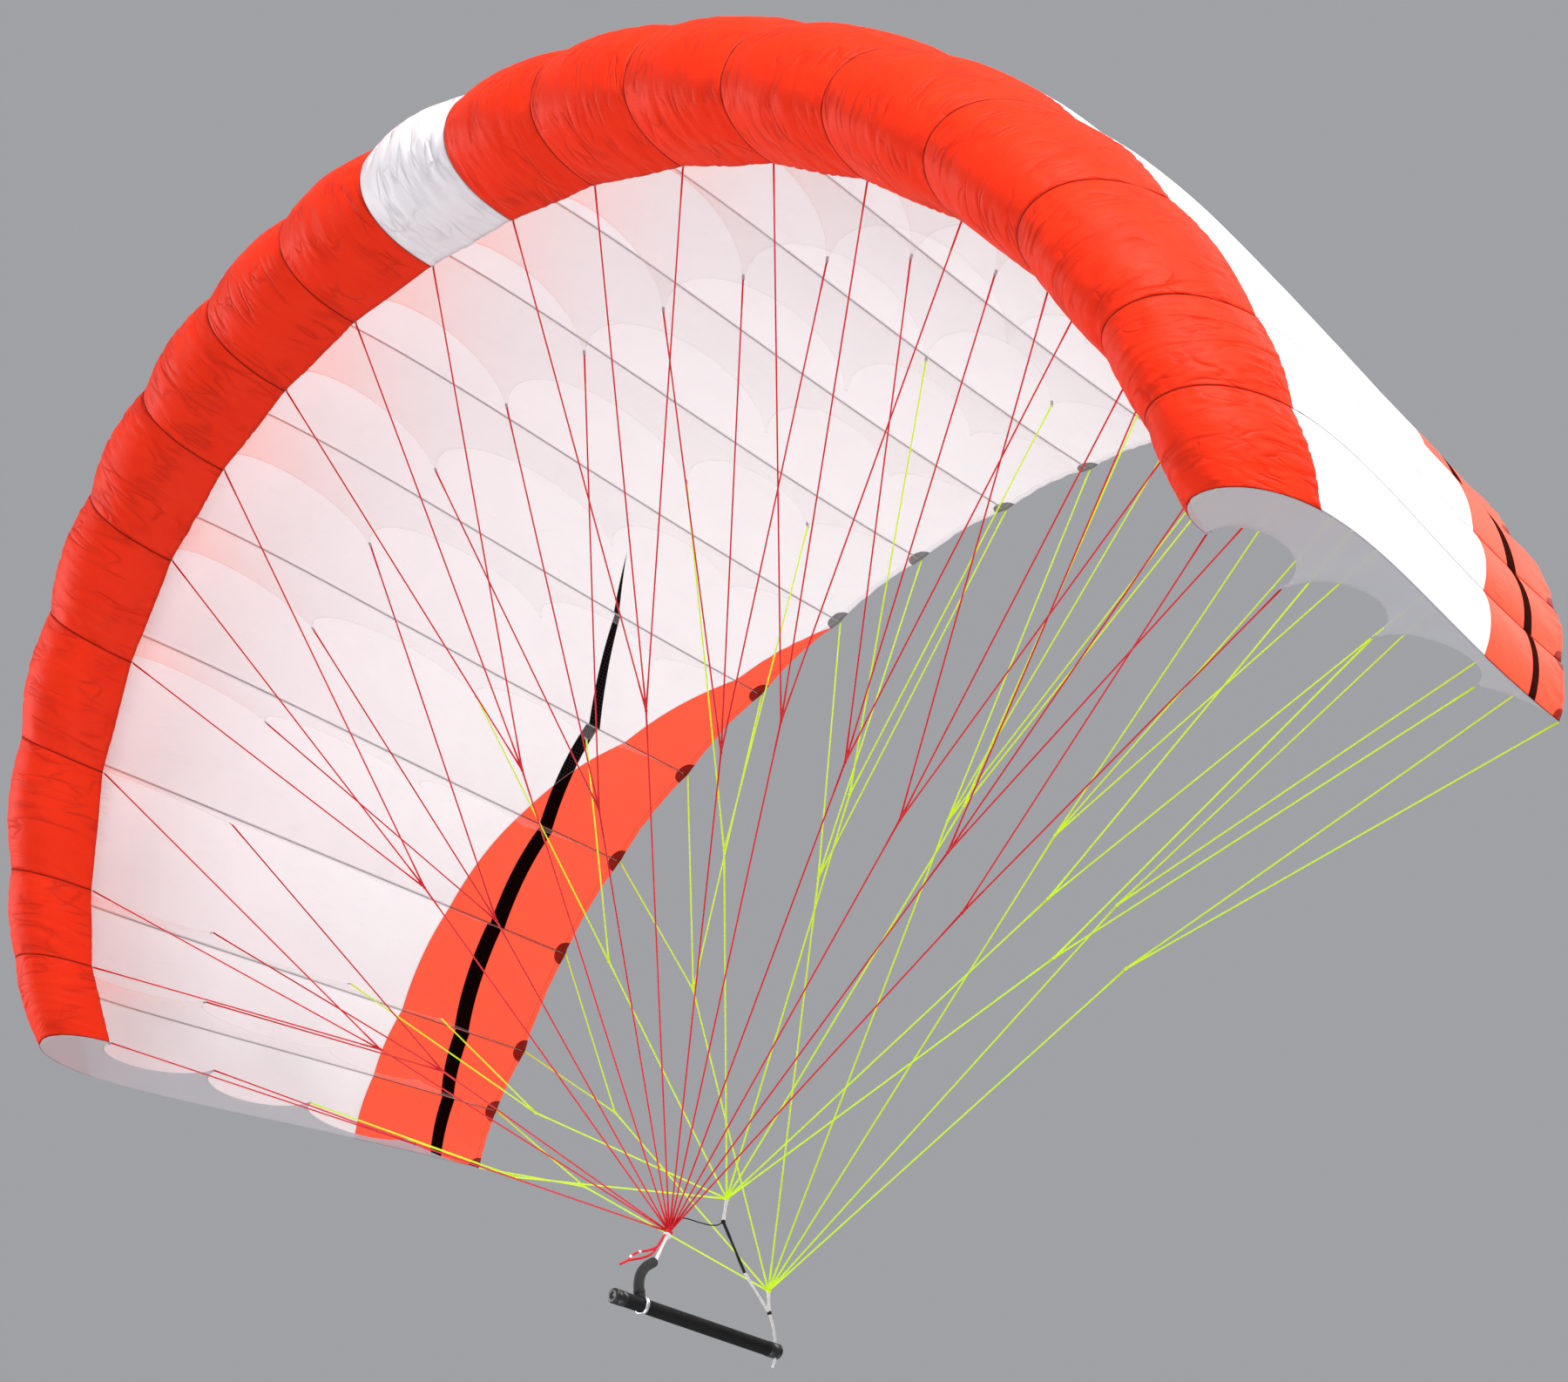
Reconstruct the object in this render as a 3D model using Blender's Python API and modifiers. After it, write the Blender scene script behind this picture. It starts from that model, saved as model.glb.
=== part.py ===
# Parawing: a single-skin soft wing held by a hand bar. Metres, +Z up.
# The wing flies toward -Y and its span lies along X. The origin is the middle of the bar.
import math

import bmesh
import bpy
from mathutils import Matrix, Vector

# ---- driving dimensions: canopy ----
CELL_WIDTH = 0.198          # seam to seam, inner cells
TILT_PER_M = 32.8           # degrees of arc for each metre of span from the centre
TILT_PER_M3 = 5.9           # the arc tightens toward the tips
CROWN_HEIGHT = 1.596        # first line point of the middle ribs above the front knot
SHEET = 0.0015              # thickness of a cloth sheet
GAP = 0.0003                # left between two pieces
BULGE = 0.0155              # how far an inner cell balloons out between its seams
BULGE_AT_EDGE = 0.15        # share of it left along the front hem
BULGE_REAR = 1.30           # the slacker rear of a cell balloons out by this much more
BULGE_AT_TAIL = 0.60        # share of that left along the trailing edge
SEAM_INSET = 0.0021         # a rib's top edge below the outside of the skin
TAB = 0.0035                # half width of the flat at each line point of a rib
TAIL_END = 0.985            # where a rib ends, as a share of its chord
TAIL_DEPTH = 0.003          # height of a rib at that end

# Each pair of ribs, from the middle outward. width is the cell inboard of it (half of the middle cell
# for the first), lead and trail are how far its front line point and its trailing edge lie ahead of and
# behind the front knot, and lift is the rise of the trailing edge above the front line point.
RIB_COLUMNS = ("width", "lead", "trail", "lift")
RIB_PAIRS = (
    (CELL_WIDTH / 2, 0.470, 0.894, 0.075),
    (CELL_WIDTH, 0.469, 0.884, 0.072),
    (CELL_WIDTH, 0.456, 0.872, 0.062),
    (CELL_WIDTH, 0.436, 0.850, 0.044),
    (CELL_WIDTH, 0.404, 0.822, 0.024),
    (CELL_WIDTH, 0.360, 0.787, 0.002),
    (CELL_WIDTH, 0.310, 0.766, -0.008),
    (CELL_WIDTH, 0.248, 0.750, -0.014),
    (0.127, 0.208, 0.714, -0.018),
    (0.121, 0.148, 0.686, -0.022),
)
TIP = len(RIB_PAIRS)        # the outermost pair

# The wing section, in shares of the chord: three cubic curves from the front line point (0, 0) round
# the nose and over the crown to the trailing edge (1, 0), each with its number of steps.
SECTION = (
    ((0, 0), (-0.055, 0.006), (-0.108, 0.032), (-0.108, 0.076), 4),
    ((-0.108, 0.076), (-0.108, 0.140), (-0.025, 0.186), (0.090, 0.186), 5),
    ((0.090, 0.186), (0.300, 0.186), (0.600, 0.064), (1, 0), 8),
)

# Line points of a rib: share of the chord, height above the chord line, and the rise and steps of the
# scallop that runs back from it.
POINT_COLUMNS = ("along", "height", "rise", "steps")
LINE_POINTS = {
    "A": (0, 0, 0.078, 7),
    "B": (0.246, -0.035, 0.085, 7),
    "C": (0.557, -0.037, 0.062, 6),
    "D": (0.780, -0.024, 0.016, 3),
}
TIP_C_ALONG = 0.502         # C lies further forward on the tip ribs
TIP_RISE = 1.12             # and their scallops are deeper

# ---- driving dimensions: bar and bridle ----
BAR_LENGTH = 0.352
GRIP_RADIUS = 0.0115
CAP_RADIUS = 0.0122
CAP_LENGTH = 0.024
ROUNDED = 0.0015            # on the outer edge of a cap
HOLE_RADIUS = 0.0028        # crossways through the rear cap, for the leader
HOLE_FROM_END = 0.0072
COLLAR_RADIUS = 0.0148
COLLAR_WIDTH = 0.0066
COLLAR_PLACE = -0.114       # along the bar
RING_RADIUS = 0.0070        # the white band round the front riser, under the front knot
RING_BORE = 0.0030
RING_LENGTH = 0.0045
STRAP_RADIUS = 0.0087       # the padded strap at its foot
STRAP_TAPER = 0.92          # and its top as a share of that
STRAP_CLEAR = 0.0015        # the front riser leaves its top at a slant
RISER_RADIUS = 0.0023
TRIM_RADIUS = 0.0020
THIN_RADIUS = 0.0010
PIGTAIL_RADIUS = 0.0019
JOINT_RADIUS = 0.0036       # where two lines of the bridle are joined
BEND_CLEAR = 0.0004         # on each side of the bend between its black and white lengths
SPLICE_CLEAR = 0.0068       # the trim line stops here, beside the brake riser
FRONT_KNOT = Vector((0, -0.060, 0.136))
REAR_KNOT = Vector((0, 0.062, 0.226))
BRAKE_KNOT = Vector((0, 0.154, 0.096))
REAR_JOINT = Vector((0, 0.055, 0.185))
TRIM_STEP = Vector((0, 0.102, 0.1125))     # where the trim line turns from black to white
BRAKE_JOINT = Vector((0, 0.156, 0.060))
SPREAD = Vector((0, 0.060, 0))    # the cascades branch half-way from here to their line points
LINE_RADIUS = 0.0011
BRANCH_RADIUS = 0.0026      # the small knot of a cascade
FRONT_KNOT_RADIUS = 0.0058
REAR_KNOT_RADIUS = 0.0042

# Paths in the wing's middle plane, each place as how far back and how high it is.
STRAP_PATH = ((-0.1185, 0.004), (-0.1210, 0.020), (-0.1220, 0.034), (-0.1180, 0.051),
              (-0.1080, 0.065), (-0.0950, 0.075), (-0.0885, 0.0800))
THIN_PATH = ((0.055, 0.185), (0.042, 0.176), (0.025, 0.1715), (0.003, 0.1695), (-0.027, 0.168),
             (-0.044, 0.160), (-0.060, 0.136))
LEADER_PATH = ((0.1560, 0.060), (0.1635, 0.043), (0.1680, 0.024), (0.1688, 0.013), (0.1688, -0.013),
               (0.1635, -0.028))
PIGTAIL_PATH = ((-0.0698, 0.1284), (-0.0795, 0.1125), (-0.0920, 0.0960))
UPPER_STRAND = ((-0.0870, 0.1030), (-0.1044, 0.0930), (-0.1247, 0.0845), (-0.1390, 0.0740), (-0.1450, 0.0660))
LOWER_STRAND = ((-0.0880, 0.1000), (-0.1000, 0.0870), (-0.1160, 0.0778), (-0.1340, 0.0702),
                (-0.1450, 0.0660), (-0.1617, 0.0546))

# Which rib pairs each cascade gathers, on both sides of the wing.
FRONT_GROUPS = ((1, 2, 3), (4, 5, 6), (7, 8, 9))
REAR_GROUPS = ((2,), (5,), (8,), (10,))
BRAKE_GROUPS = ((1, 2, 3), (4, 5, 6), (7, 8), (9, 10))

for old in list(bpy.data.objects):
    bpy.data.objects.remove(old)
parawing = bpy.data.collections.new("parawing")
bpy.context.scene.collection.children.link(parawing)
cutters = bpy.data.collections.new("cutters")
cutters.hide_render = True
bpy.context.scene.collection.children.link(cutters)


def material(name, colour, roughness, metallic=0.0):
    made = bpy.data.materials.new(name)
    made.use_nodes = True
    shader = made.node_tree.nodes["Principled BSDF"]
    shader.inputs["Base Color"].default_value = (*colour, 1)
    shader.inputs["Roughness"].default_value = roughness
    shader.inputs["Metallic"].default_value = metallic
    return made


RED_NYLON = material("red nylon", (0.87, 0.04, 0.01), 0.55)
WHITE_NYLON = material("white nylon", (0.90, 0.87, 0.88), 0.55)
RIB_NYLON = material("rib nylon", (0.62, 0.61, 0.63), 0.60)
RED_LINE = material("red line", (0.60, 0.005, 0.02), 0.60)
LIME_LINE = material("lime line", (0.55, 0.80, 0.02), 0.60)
WHITE_LINE = material("white line", (0.85, 0.83, 0.80), 0.65)
BLACK_LINE = material("black line", (0.02, 0.02, 0.02), 0.70)
FOAM = material("grip foam", (0.02, 0.02, 0.022), 0.85)
PLASTIC = material("black plastic", (0.015, 0.015, 0.015), 0.45)
SLEEVE = material("strap sleeve", (0.03, 0.03, 0.03), 0.80)
STEEL = material("polished steel", (0.80, 0.80, 0.82), 0.15, 1.0)


def publish(made, surface, smooth_below=None):
    """Puts a finished object in the part's collection with its material."""
    for holder in list(made.users_collection):
        holder.objects.unlink(made)
    parawing.objects.link(made)
    made.data.materials.clear()
    made.data.materials.append(surface)
    if smooth_below is not None:
        made.data.shade_smooth()
        made.data.set_sharp_from_angle(angle=math.radians(smooth_below))
    return made


def keep_as_cutter(made):
    for holder in list(made.users_collection):
        holder.objects.unlink(made)
    cutters.objects.link(made)
    made.hide_render = True
    made.display_type = "WIRE"
    return made


def mesh_object(name, shape):
    mesh = bpy.data.meshes.new(name)
    shape.to_mesh(mesh)
    shape.free()
    made = bpy.data.objects.new(name, mesh)
    bpy.context.scene.collection.objects.link(made)
    return made


# ---- wing geometry ----
def bezier(a, b, c, d, t):
    s = 1 - t
    weights = (s**3, 3 * s * s * t, 3 * s * t * t, t**3)
    return sum((Vector(p) * w for p, w in zip((a, b, c, d), weights)), Vector((0, 0)))


def section_points():
    """The section from the front line point round to the trailing edge, in shares of the chord."""
    points = [Vector((0, 0))]
    for a, b, c, d, steps in SECTION:
        points += [bezier(a, b, c, d, (i + 1) / steps) for i in range(steps)]
    return points


def outward(points):
    """The outward direction at each point of an open outline."""
    found = []
    for i in range(len(points)):
        along = (points[min(i + 1, len(points) - 1)] - points[max(i - 1, 0)]).normalized()
        found.append(Vector((-along.y, along.x)))
    return found


class Rib:
    """One rib's plane: u runs back along its chord and v outward from the middle of the arc."""

    def __init__(self, pair, side):
        span = 0.0
        x = 0.0
        z = CROWN_HEIGHT
        for row in RIB_PAIRS[:pair]:
            width = row[RIB_COLUMNS.index("width")]
            tilt = self.tilt_at(span + width / 2) if span else 0.0
            x += width * math.cos(tilt)
            z -= width * math.sin(tilt)
            span += width
        sizes = dict(zip(RIB_COLUMNS, RIB_PAIRS[pair - 1]))
        self.pair = pair
        self.side = side
        self.tilt = self.tilt_at(span) * side
        self.point = FRONT_KNOT + Vector((side * x, -sizes["lead"], z))
        self.out = Vector((math.sin(self.tilt), 0, math.cos(self.tilt)))
        run = sizes["lead"] + sizes["trail"]
        self.chord = math.hypot(run, sizes["lift"])
        self.back = (Vector((0, run, 0)) + self.out * sizes["lift"]).normalized()
        self.up = self.out - self.back * self.out.dot(self.back)
        self.up.normalize()

    @staticmethod
    def tilt_at(span):
        return math.radians(TILT_PER_M * span + TILT_PER_M3 * span**3)

    def at(self, flat):
        """The world place of a point given in metres on the rib's plane."""
        return self.point + self.back * flat.x + self.up * flat.y

    def line_point(self, letter):
        sizes = dict(zip(POINT_COLUMNS, LINE_POINTS[letter]))
        along = TIP_C_ALONG if letter == "C" and self.pair == TIP else sizes["along"]
        return Vector((along, sizes["height"])) * self.chord

    @property
    def name(self):
        return f"{'LR'[self.side > 0]}{self.pair}"


RIBS = {(pair, side): Rib(pair, side) for side in (-1, 1) for pair in range(1, TIP + 1)}
PROFILE = section_points()
NORMALS = outward(PROFILE)


def smooth_step(value):
    value = min(max(value, 0), 1)
    return value * value * (3 - 2 * value)


def bulge_shares():
    """How much of the full bulge each row of the section has."""
    lengths = [0.0]
    for before, after in zip(PROFILE, PROFILE[1:]):
        lengths.append(lengths[-1] + (after - before).length)
    shares = []
    for length in lengths:
        t = length / lengths[-1]
        front = BULGE_AT_EDGE + (1 - BULGE_AT_EDGE) * smooth_step(t / 0.12)
        rear = 1 + (BULGE_REAR - 1) * smooth_step((t - 0.45) / 0.25)
        tail = 1 - (1 - BULGE_AT_TAIL) * smooth_step((t - 0.85) / 0.15)
        shares.append(front * rear * tail)
    return shares


BULGE_SHARES = bulge_shares()
CELL_STEPS = 4


def cell_panel(name, left, right, width):
    """One ballooned cell of skin, between two ribs' planes."""
    margin = GAP / 2 / width
    overhang = SHEET / 2 / width
    start = -overhang if left.pair == TIP else margin
    end = 1 + overhang if right.pair == TIP else 1 - margin
    shape = bmesh.new()
    rows = []
    for flat, normal, share in zip(PROFILE, NORMALS, BULGE_SHARES):
        row = []
        for step in range(CELL_STEPS + 1):
            t = start + (end - start) * step / CELL_STEPS
            place = left.at(flat * left.chord).lerp(right.at(flat * right.chord), t)
            turned = [rib.back * normal.x + rib.up * normal.y for rib in (left, right)]
            away = turned[0].lerp(turned[1], t).normalized()
            swell = BULGE * width / CELL_WIDTH * share * max(4 * t * (1 - t), 0)
            row.append(shape.verts.new(place + away * swell))
        rows.append(row)
    for lower, upper in zip(rows, rows[1:]):
        for a, b, c, d in zip(lower, lower[1:], upper[1:], upper):
            shape.faces.new((a, b, c, d))
    made = mesh_object(name, shape)
    sheet = made.modifiers.new("sheet", "SOLIDIFY")
    sheet.thickness = SHEET
    sheet.offset = -1
    sheet.use_even_offset = True
    return publish(made, RED_NYLON if left.pair > 1 or right.pair > 1 else WHITE_NYLON, 60)


def section_height(along):
    """Height of the section's upper side at a share of the chord."""
    for before, after in zip(PROFILE, PROFILE[1:]):
        if before.x <= along <= after.x and after.y < 0.19 and before.y > 0:
            return before.y + (after.y - before.y) * (along - before.x) / (after.x - before.x)
    raise ValueError(along)


def scallop(first, last, rise, steps):
    """Points along a half-ellipse arch from one place to another, both included."""
    middle = (first + last) / 2
    half = (last - first) / 2
    angles = (math.pi * (1 - i / steps) for i in range(steps + 1))
    return [middle + half * math.cos(a) + Vector((0, rise * math.sin(a))) for a in angles]


def rib_outline(rib):
    """The rib's outline on its plane, in metres: over the top, then back under the scallops."""
    top = [
        flat * rib.chord - normal * SEAM_INSET
        for flat, normal in zip(PROFILE, NORMALS)
        if flat.x < TAIL_END or flat.y > 0.05
    ]
    tail_top = Vector((TAIL_END * rib.chord, section_height(TAIL_END) * rib.chord - SEAM_INSET))
    tail_low = tail_top - Vector((0, TAIL_DEPTH))
    under = []
    letters = list(LINE_POINTS)
    for letter, following in zip(letters, letters[1:] + [None]):
        sizes = dict(zip(POINT_COLUMNS, LINE_POINTS[letter]))
        first = rib.line_point(letter) + Vector((TAB, 0))
        if letter == "A":
            first += Vector((0, SEAM_INSET))
        last = tail_low if following is None else rib.line_point(following) - Vector((TAB, 0))
        rise = sizes["rise"] * rib.chord * (TIP_RISE if rib.pair == TIP else 1)
        under += scallop(first, last, rise, sizes["steps"])
    return top + [tail_top] + under[::-1]


def rib_sheet(rib):
    """A rib: its flat outline, cut from one sheet, standing in its own plane."""
    curve = bpy.data.curves.new(f"rib_{rib.name}", "CURVE")
    curve.dimensions = "2D"
    curve.fill_mode = "BOTH"
    curve.extrude = SHEET / 2
    points = rib_outline(rib)
    spline = curve.splines.new("POLY")
    spline.points.add(len(points) - 1)
    for point, flat in zip(spline.points, points):
        point.co = (flat.x, flat.y, 0, 1)
    spline.use_cyclic_u = True
    made = bpy.data.objects.new(curve.name, curve)
    across = rib.back.cross(rib.up)
    turn = Matrix((rib.back, rib.up, across)).transposed().to_4x4()
    made.matrix_world = Matrix.Translation(rib.point) @ turn
    bpy.context.scene.collection.objects.link(made)
    return publish(made, RIB_NYLON)


# ---- lines ----
def rod(name, start, end, radius, sides=6):
    """A straight line under tension, as a closed cylinder."""
    shape = bmesh.new()
    along = end - start
    turn = along.to_track_quat("Z", "Y").to_matrix().to_4x4()
    place = Matrix.Translation((start + end) / 2) @ turn
    bmesh.ops.create_cone(
        shape, cap_ends=True, segments=sides, radius1=radius, radius2=radius, depth=along.length, matrix=place
    )
    return mesh_object(name, shape)


def ball(name, centre, radius, finer=0):
    shape = bmesh.new()
    place = Matrix.Translation(centre)
    bmesh.ops.create_icosphere(shape, subdivisions=1 + finer, radius=radius, matrix=place)
    return mesh_object(name, shape)


def line_start(rib, letter, toward):
    """Where a line begins: just clear of its tab, on the way to its knot."""
    flat = rib.line_point(letter)
    corner = rib.at(flat)
    if letter == "A":
        corner = rib.at(Vector((TAB, 0)))
    along = (toward - corner).normalized()
    # a slanting end reaches back by its radius, so it starts that much further out
    return corner + along * (GAP + LINE_RADIUS)


def tail_start(rib, toward):
    """Where a brake line begins: just under the trailing edge."""
    corner = rib.at(Vector((rib.chord, 0)) - Vector((0, SHEET)))
    along = (toward - corner).normalized()
    return corner + along * (GAP + LINE_RADIUS)


def branch_point(ends):
    middle = sum(ends, Vector()) / len(ends)
    return (middle + FRONT_KNOT + SPREAD) / 2


def fuse(name, knot, knot_radius, runs, branches, surface):
    """One line system as one body: its cascades, their small knots and the knot where all of them meet."""
    made = ball(name, knot, knot_radius, finer=1)
    holder = bpy.data.collections.new(f"{name} operands")
    holder.hide_render = True
    cutters.children.link(holder)
    for number, (start, end) in enumerate(runs):
        piece = keep_as_cutter(rod(f"{name} run {number}", start, end, LINE_RADIUS))
        cutters.objects.unlink(piece)
        holder.objects.link(piece)
    for number, place in enumerate(branches):
        piece = keep_as_cutter(ball(f"{name} branch {number}", place, BRANCH_RADIUS))
        cutters.objects.unlink(piece)
        holder.objects.link(piece)
    union = made.modifiers.new("fused", "BOOLEAN")
    union.operation = "UNION"
    union.operand_type = "COLLECTION"
    union.collection = holder
    union.solver = "EXACT"
    return publish(made, surface)


def front_system():
    runs = []
    branches = []
    for side in (-1, 1):
        for letter in "AB":
            for group in FRONT_GROUPS:
                ribs = [RIBS[pair, side] for pair in group]
                branch = branch_point([rib.at(rib.line_point(letter)) for rib in ribs])
                branches.append(branch)
                runs.append((branch, FRONT_KNOT))
                runs += [(line_start(rib, letter, branch), branch) for rib in ribs]
        tip = RIBS[TIP, side]
        branch = branch_point([tip.at(tip.line_point(letter)) for letter in "AB"])
        branches.append(branch)
        runs.append((branch, FRONT_KNOT))
        runs += [(line_start(tip, letter, branch), branch) for letter in "AB"]
    fuse("front_lines", FRONT_KNOT, FRONT_KNOT_RADIUS, runs, branches, RED_LINE)


def rear_system():
    runs = []
    branches = []
    for side in (-1, 1):
        for (pair,) in REAR_GROUPS:
            rib = RIBS[pair, side]
            branch = branch_point([rib.at(rib.line_point(letter)) for letter in "CD"])
            branches.append(branch)
            runs.append((branch, REAR_KNOT))
            runs += [(line_start(rib, letter, branch), branch) for letter in "CD"]
    fuse("rear_lines", REAR_KNOT, REAR_KNOT_RADIUS, runs, branches, LIME_LINE)


def brake_system():
    runs = []
    branches = []
    for side in (-1, 1):
        for group in BRAKE_GROUPS:
            ribs = [RIBS[pair, side] for pair in group]
            branch = branch_point([rib.at(Vector((rib.chord, 0))) for rib in ribs])
            branches.append(branch)
            runs.append((branch, BRAKE_KNOT))
            runs += [(tail_start(rib, branch), branch) for rib in ribs]
    fuse("brake_lines", BRAKE_KNOT, REAR_KNOT_RADIUS, runs, branches, LIME_LINE)


# ---- bar and bridle ----
def turned(name, profile, middle, steps=20):
    """A piece turned about the bar's axis. The profile pairs a place along the bar with a radius."""
    shape = bmesh.new()
    rings = []
    for along, radius in profile:
        ring = []
        for step in range(steps):
            angle = 2 * math.pi * (step + 0.5) / steps
            place = Vector((radius * math.cos(angle), along, radius * math.sin(angle)))
            ring.append(shape.verts.new(middle + place))
        rings.append(ring)
    closed = profile[0] == profile[-1]
    if closed:
        for vert in rings.pop():
            shape.verts.remove(vert)
        rings.append(rings[0])
    for lower, upper in zip(rings, rings[1:]):
        for i in range(steps):
            j = (i + 1) % steps
            shape.faces.new((lower[i], lower[j], upper[j], upper[i]))
    if not closed:
        shape.faces.new(rings[0])
        shape.faces.new(rings[-1])
    bmesh.ops.recalc_face_normals(shape, faces=shape.faces)
    return mesh_object(name, shape)


def cut(target, cutter):
    difference = target.modifiers.new(f"less {cutter.name}", "BOOLEAN")
    difference.operation = "DIFFERENCE"
    difference.object = keep_as_cutter(cutter)
    difference.solver = "EXACT"


def smooth_path(path, steps=3):
    """Points along an even curve through the given places."""
    places = [Vector((0, *place)) for place in path]
    ends = [places[0] * 2 - places[1], *places, places[-1] * 2 - places[-2]]
    found = [places[0]]
    for a, b, c, d in zip(ends, ends[1:], ends[2:], ends[3:]):
        for step in range(1, steps + 1):
            t = step / steps
            bend = 2 * b + (c - a) * t + (2 * a - 5 * b + 4 * c - d) * t * t + (3 * b - a - 3 * c + d) * t**3
            found.append(bend / 2)
    return found


def trimmed(points, clear_start, clear_end):
    """The run of points with its ends drawn back from the places they start and end at."""
    for clear in (clear_end, clear_start):
        points = points[::-1]
        first = points[0]
        while (points[1] - first).length < clear:
            points.pop(1)
        points[0] = first + (points[1] - first).normalized() * clear
        if (points[1] - points[0]).length < GAP and len(points) > 2:
            points.pop(1)
    return points


def cord(name, points, radius, taper=1.0, sides_step=1):
    """A line of the bridle as a closed tube, turned into a mesh."""
    curve = bpy.data.curves.new(name, "CURVE")
    curve.dimensions = "3D"
    curve.bevel_depth = radius
    curve.bevel_resolution = sides_step
    curve.use_fill_caps = True
    spline = curve.splines.new("POLY")
    spline.points.add(len(points) - 1)
    for i, (point, place) in enumerate(zip(spline.points, points)):
        point.co = (*place, 1)
        point.radius = 1 + (taper - 1) * i / (len(points) - 1)
    drawn = bpy.data.objects.new(f"{name} drawn", curve)
    bpy.context.scene.collection.objects.link(drawn)
    graph = bpy.context.evaluated_depsgraph_get()
    mesh = bpy.data.meshes.new_from_object(drawn.evaluated_get(graph))
    bpy.data.objects.remove(drawn)
    shape = bmesh.new()
    shape.from_mesh(mesh)
    bmesh.ops.remove_doubles(shape, verts=shape.verts, dist=1e-6)
    bmesh.ops.recalc_face_normals(shape, faces=shape.faces)
    bpy.data.meshes.remove(mesh)
    return mesh_object(name, shape)


def bar():
    half = BAR_LENGTH / 2
    seam = half - CAP_LENGTH
    middle = Vector((0, 0, 0))
    grip = turned("grip", ((-seam, GRIP_RADIUS), (seam, GRIP_RADIUS)), middle)
    publish(grip, FOAM, 40)
    front = (
        (-half, CAP_RADIUS - ROUNDED),
        (-half + ROUNDED, CAP_RADIUS),
        (-seam - GAP, CAP_RADIUS),
    )
    publish(turned("cap_front", front, middle), PLASTIC, 40)
    rear = turned("cap_rear", [(-along, radius) for along, radius in front], middle)
    hole_place = Vector((0, half - HOLE_FROM_END, 0))
    reach = Vector((0, 0, CAP_RADIUS * 1.5))
    cut(rear, rod("leader hole", hole_place - reach, hole_place + reach, HOLE_RADIUS, 10))
    publish(rear, PLASTIC, 40)
    edge = COLLAR_WIDTH / 2
    ring = (
        (-edge, GRIP_RADIUS + GAP),
        (-edge, COLLAR_RADIUS),
        (edge, COLLAR_RADIUS),
        (edge, GRIP_RADIUS + GAP),
        (-edge, GRIP_RADIUS + GAP),
    )
    publish(turned("collar", ring, Vector((0, COLLAR_PLACE, 0))), STEEL, 40)


def strap():
    """The padded strap: its foot is hollowed to sit on the grip and the collar."""
    path = smooth_path(STRAP_PATH, 2)
    made = cord("strap", path, STRAP_RADIUS, STRAP_TAPER, sides_step=3)
    around = GRIP_RADIUS + GAP
    length = STRAP_RADIUS * 2
    foot = turned("grip clearance", ((-length, around), (length, around)), Vector((0, path[0].y, 0)))
    cut(made, foot)
    around = COLLAR_RADIUS + GAP
    length = COLLAR_WIDTH / 2 + GAP
    step = turned("collar clearance", ((-length, around), (length, around)), Vector((0, COLLAR_PLACE, 0)))
    cut(made, step)
    publish(made, SLEEVE, 40)
    return path[-1]


def bridle(strap_top):
    def plain(name, start, clear_start, end, clear_end, radius, surface):
        run = trimmed([start, (start + end) / 2, end], clear_start, clear_end)
        publish(cord(name, run, radius), surface, 60)

    knot_clear = REAR_KNOT_RADIUS + GAP
    joint_clear = JOINT_RADIUS + GAP
    along = (FRONT_KNOT - strap_top).normalized()
    front_clear = FRONT_KNOT_RADIUS + GAP
    plain("front_riser", strap_top, STRAP_CLEAR, FRONT_KNOT, front_clear, RISER_RADIUS, WHITE_LINE)
    band = turned(
        "front_ring",
        (
            (-RING_LENGTH / 2, RING_BORE),
            (-RING_LENGTH / 2, RING_RADIUS),
            (RING_LENGTH / 2, RING_RADIUS),
            (RING_LENGTH / 2, RING_BORE),
            (-RING_LENGTH / 2, RING_BORE),
        ),
        Vector((0, 0, 0)),
        12,
    )
    place = FRONT_KNOT - along * (FRONT_KNOT_RADIUS + RING_LENGTH / 2 + GAP)
    band.matrix_world = Matrix.Translation(place) @ along.to_track_quat("Y", "Z").to_matrix().to_4x4()
    publish(band, WHITE_LINE, 40)
    publish(ball("rear_joint", REAR_JOINT, JOINT_RADIUS, finer=1), BLACK_LINE, 60)
    publish(ball("brake_joint", BRAKE_JOINT, JOINT_RADIUS, finer=1), BLACK_LINE, 60)
    plain("rear_riser", REAR_KNOT, knot_clear, REAR_JOINT, joint_clear, RISER_RADIUS, WHITE_LINE)
    plain("trim_line_black", REAR_JOINT, joint_clear, TRIM_STEP, BEND_CLEAR, TRIM_RADIUS, BLACK_LINE)
    plain("trim_line_white", TRIM_STEP, BEND_CLEAR, BRAKE_JOINT, SPLICE_CLEAR, TRIM_RADIUS, WHITE_LINE)
    plain("brake_riser", BRAKE_KNOT, knot_clear, BRAKE_JOINT, joint_clear, RISER_RADIUS, WHITE_LINE)
    thin = trimmed(smooth_path(THIN_PATH), joint_clear, front_clear)
    publish(cord("thin_line", thin, THIN_RADIUS), BLACK_LINE, 60)
    leader = trimmed(smooth_path(LEADER_PATH), joint_clear, 0)
    publish(cord("leader", leader, RISER_RADIUS), WHITE_LINE, 60)


def pigtail():
    """The loose loop below the front knot: a doubled line that parts in two and is joined again."""
    made = cord("pigtail", smooth_path(PIGTAIL_PATH), PIGTAIL_RADIUS * 1.3)
    for name, path in (("upper strand", UPPER_STRAND), ("lower strand", LOWER_STRAND)):
        strand = keep_as_cutter(cord(name, smooth_path(path), PIGTAIL_RADIUS))
        union = made.modifiers.new(name, "BOOLEAN")
        union.operation = "UNION"
        union.object = strand
        union.solver = "EXACT"
    publish(made, RED_LINE)


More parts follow.
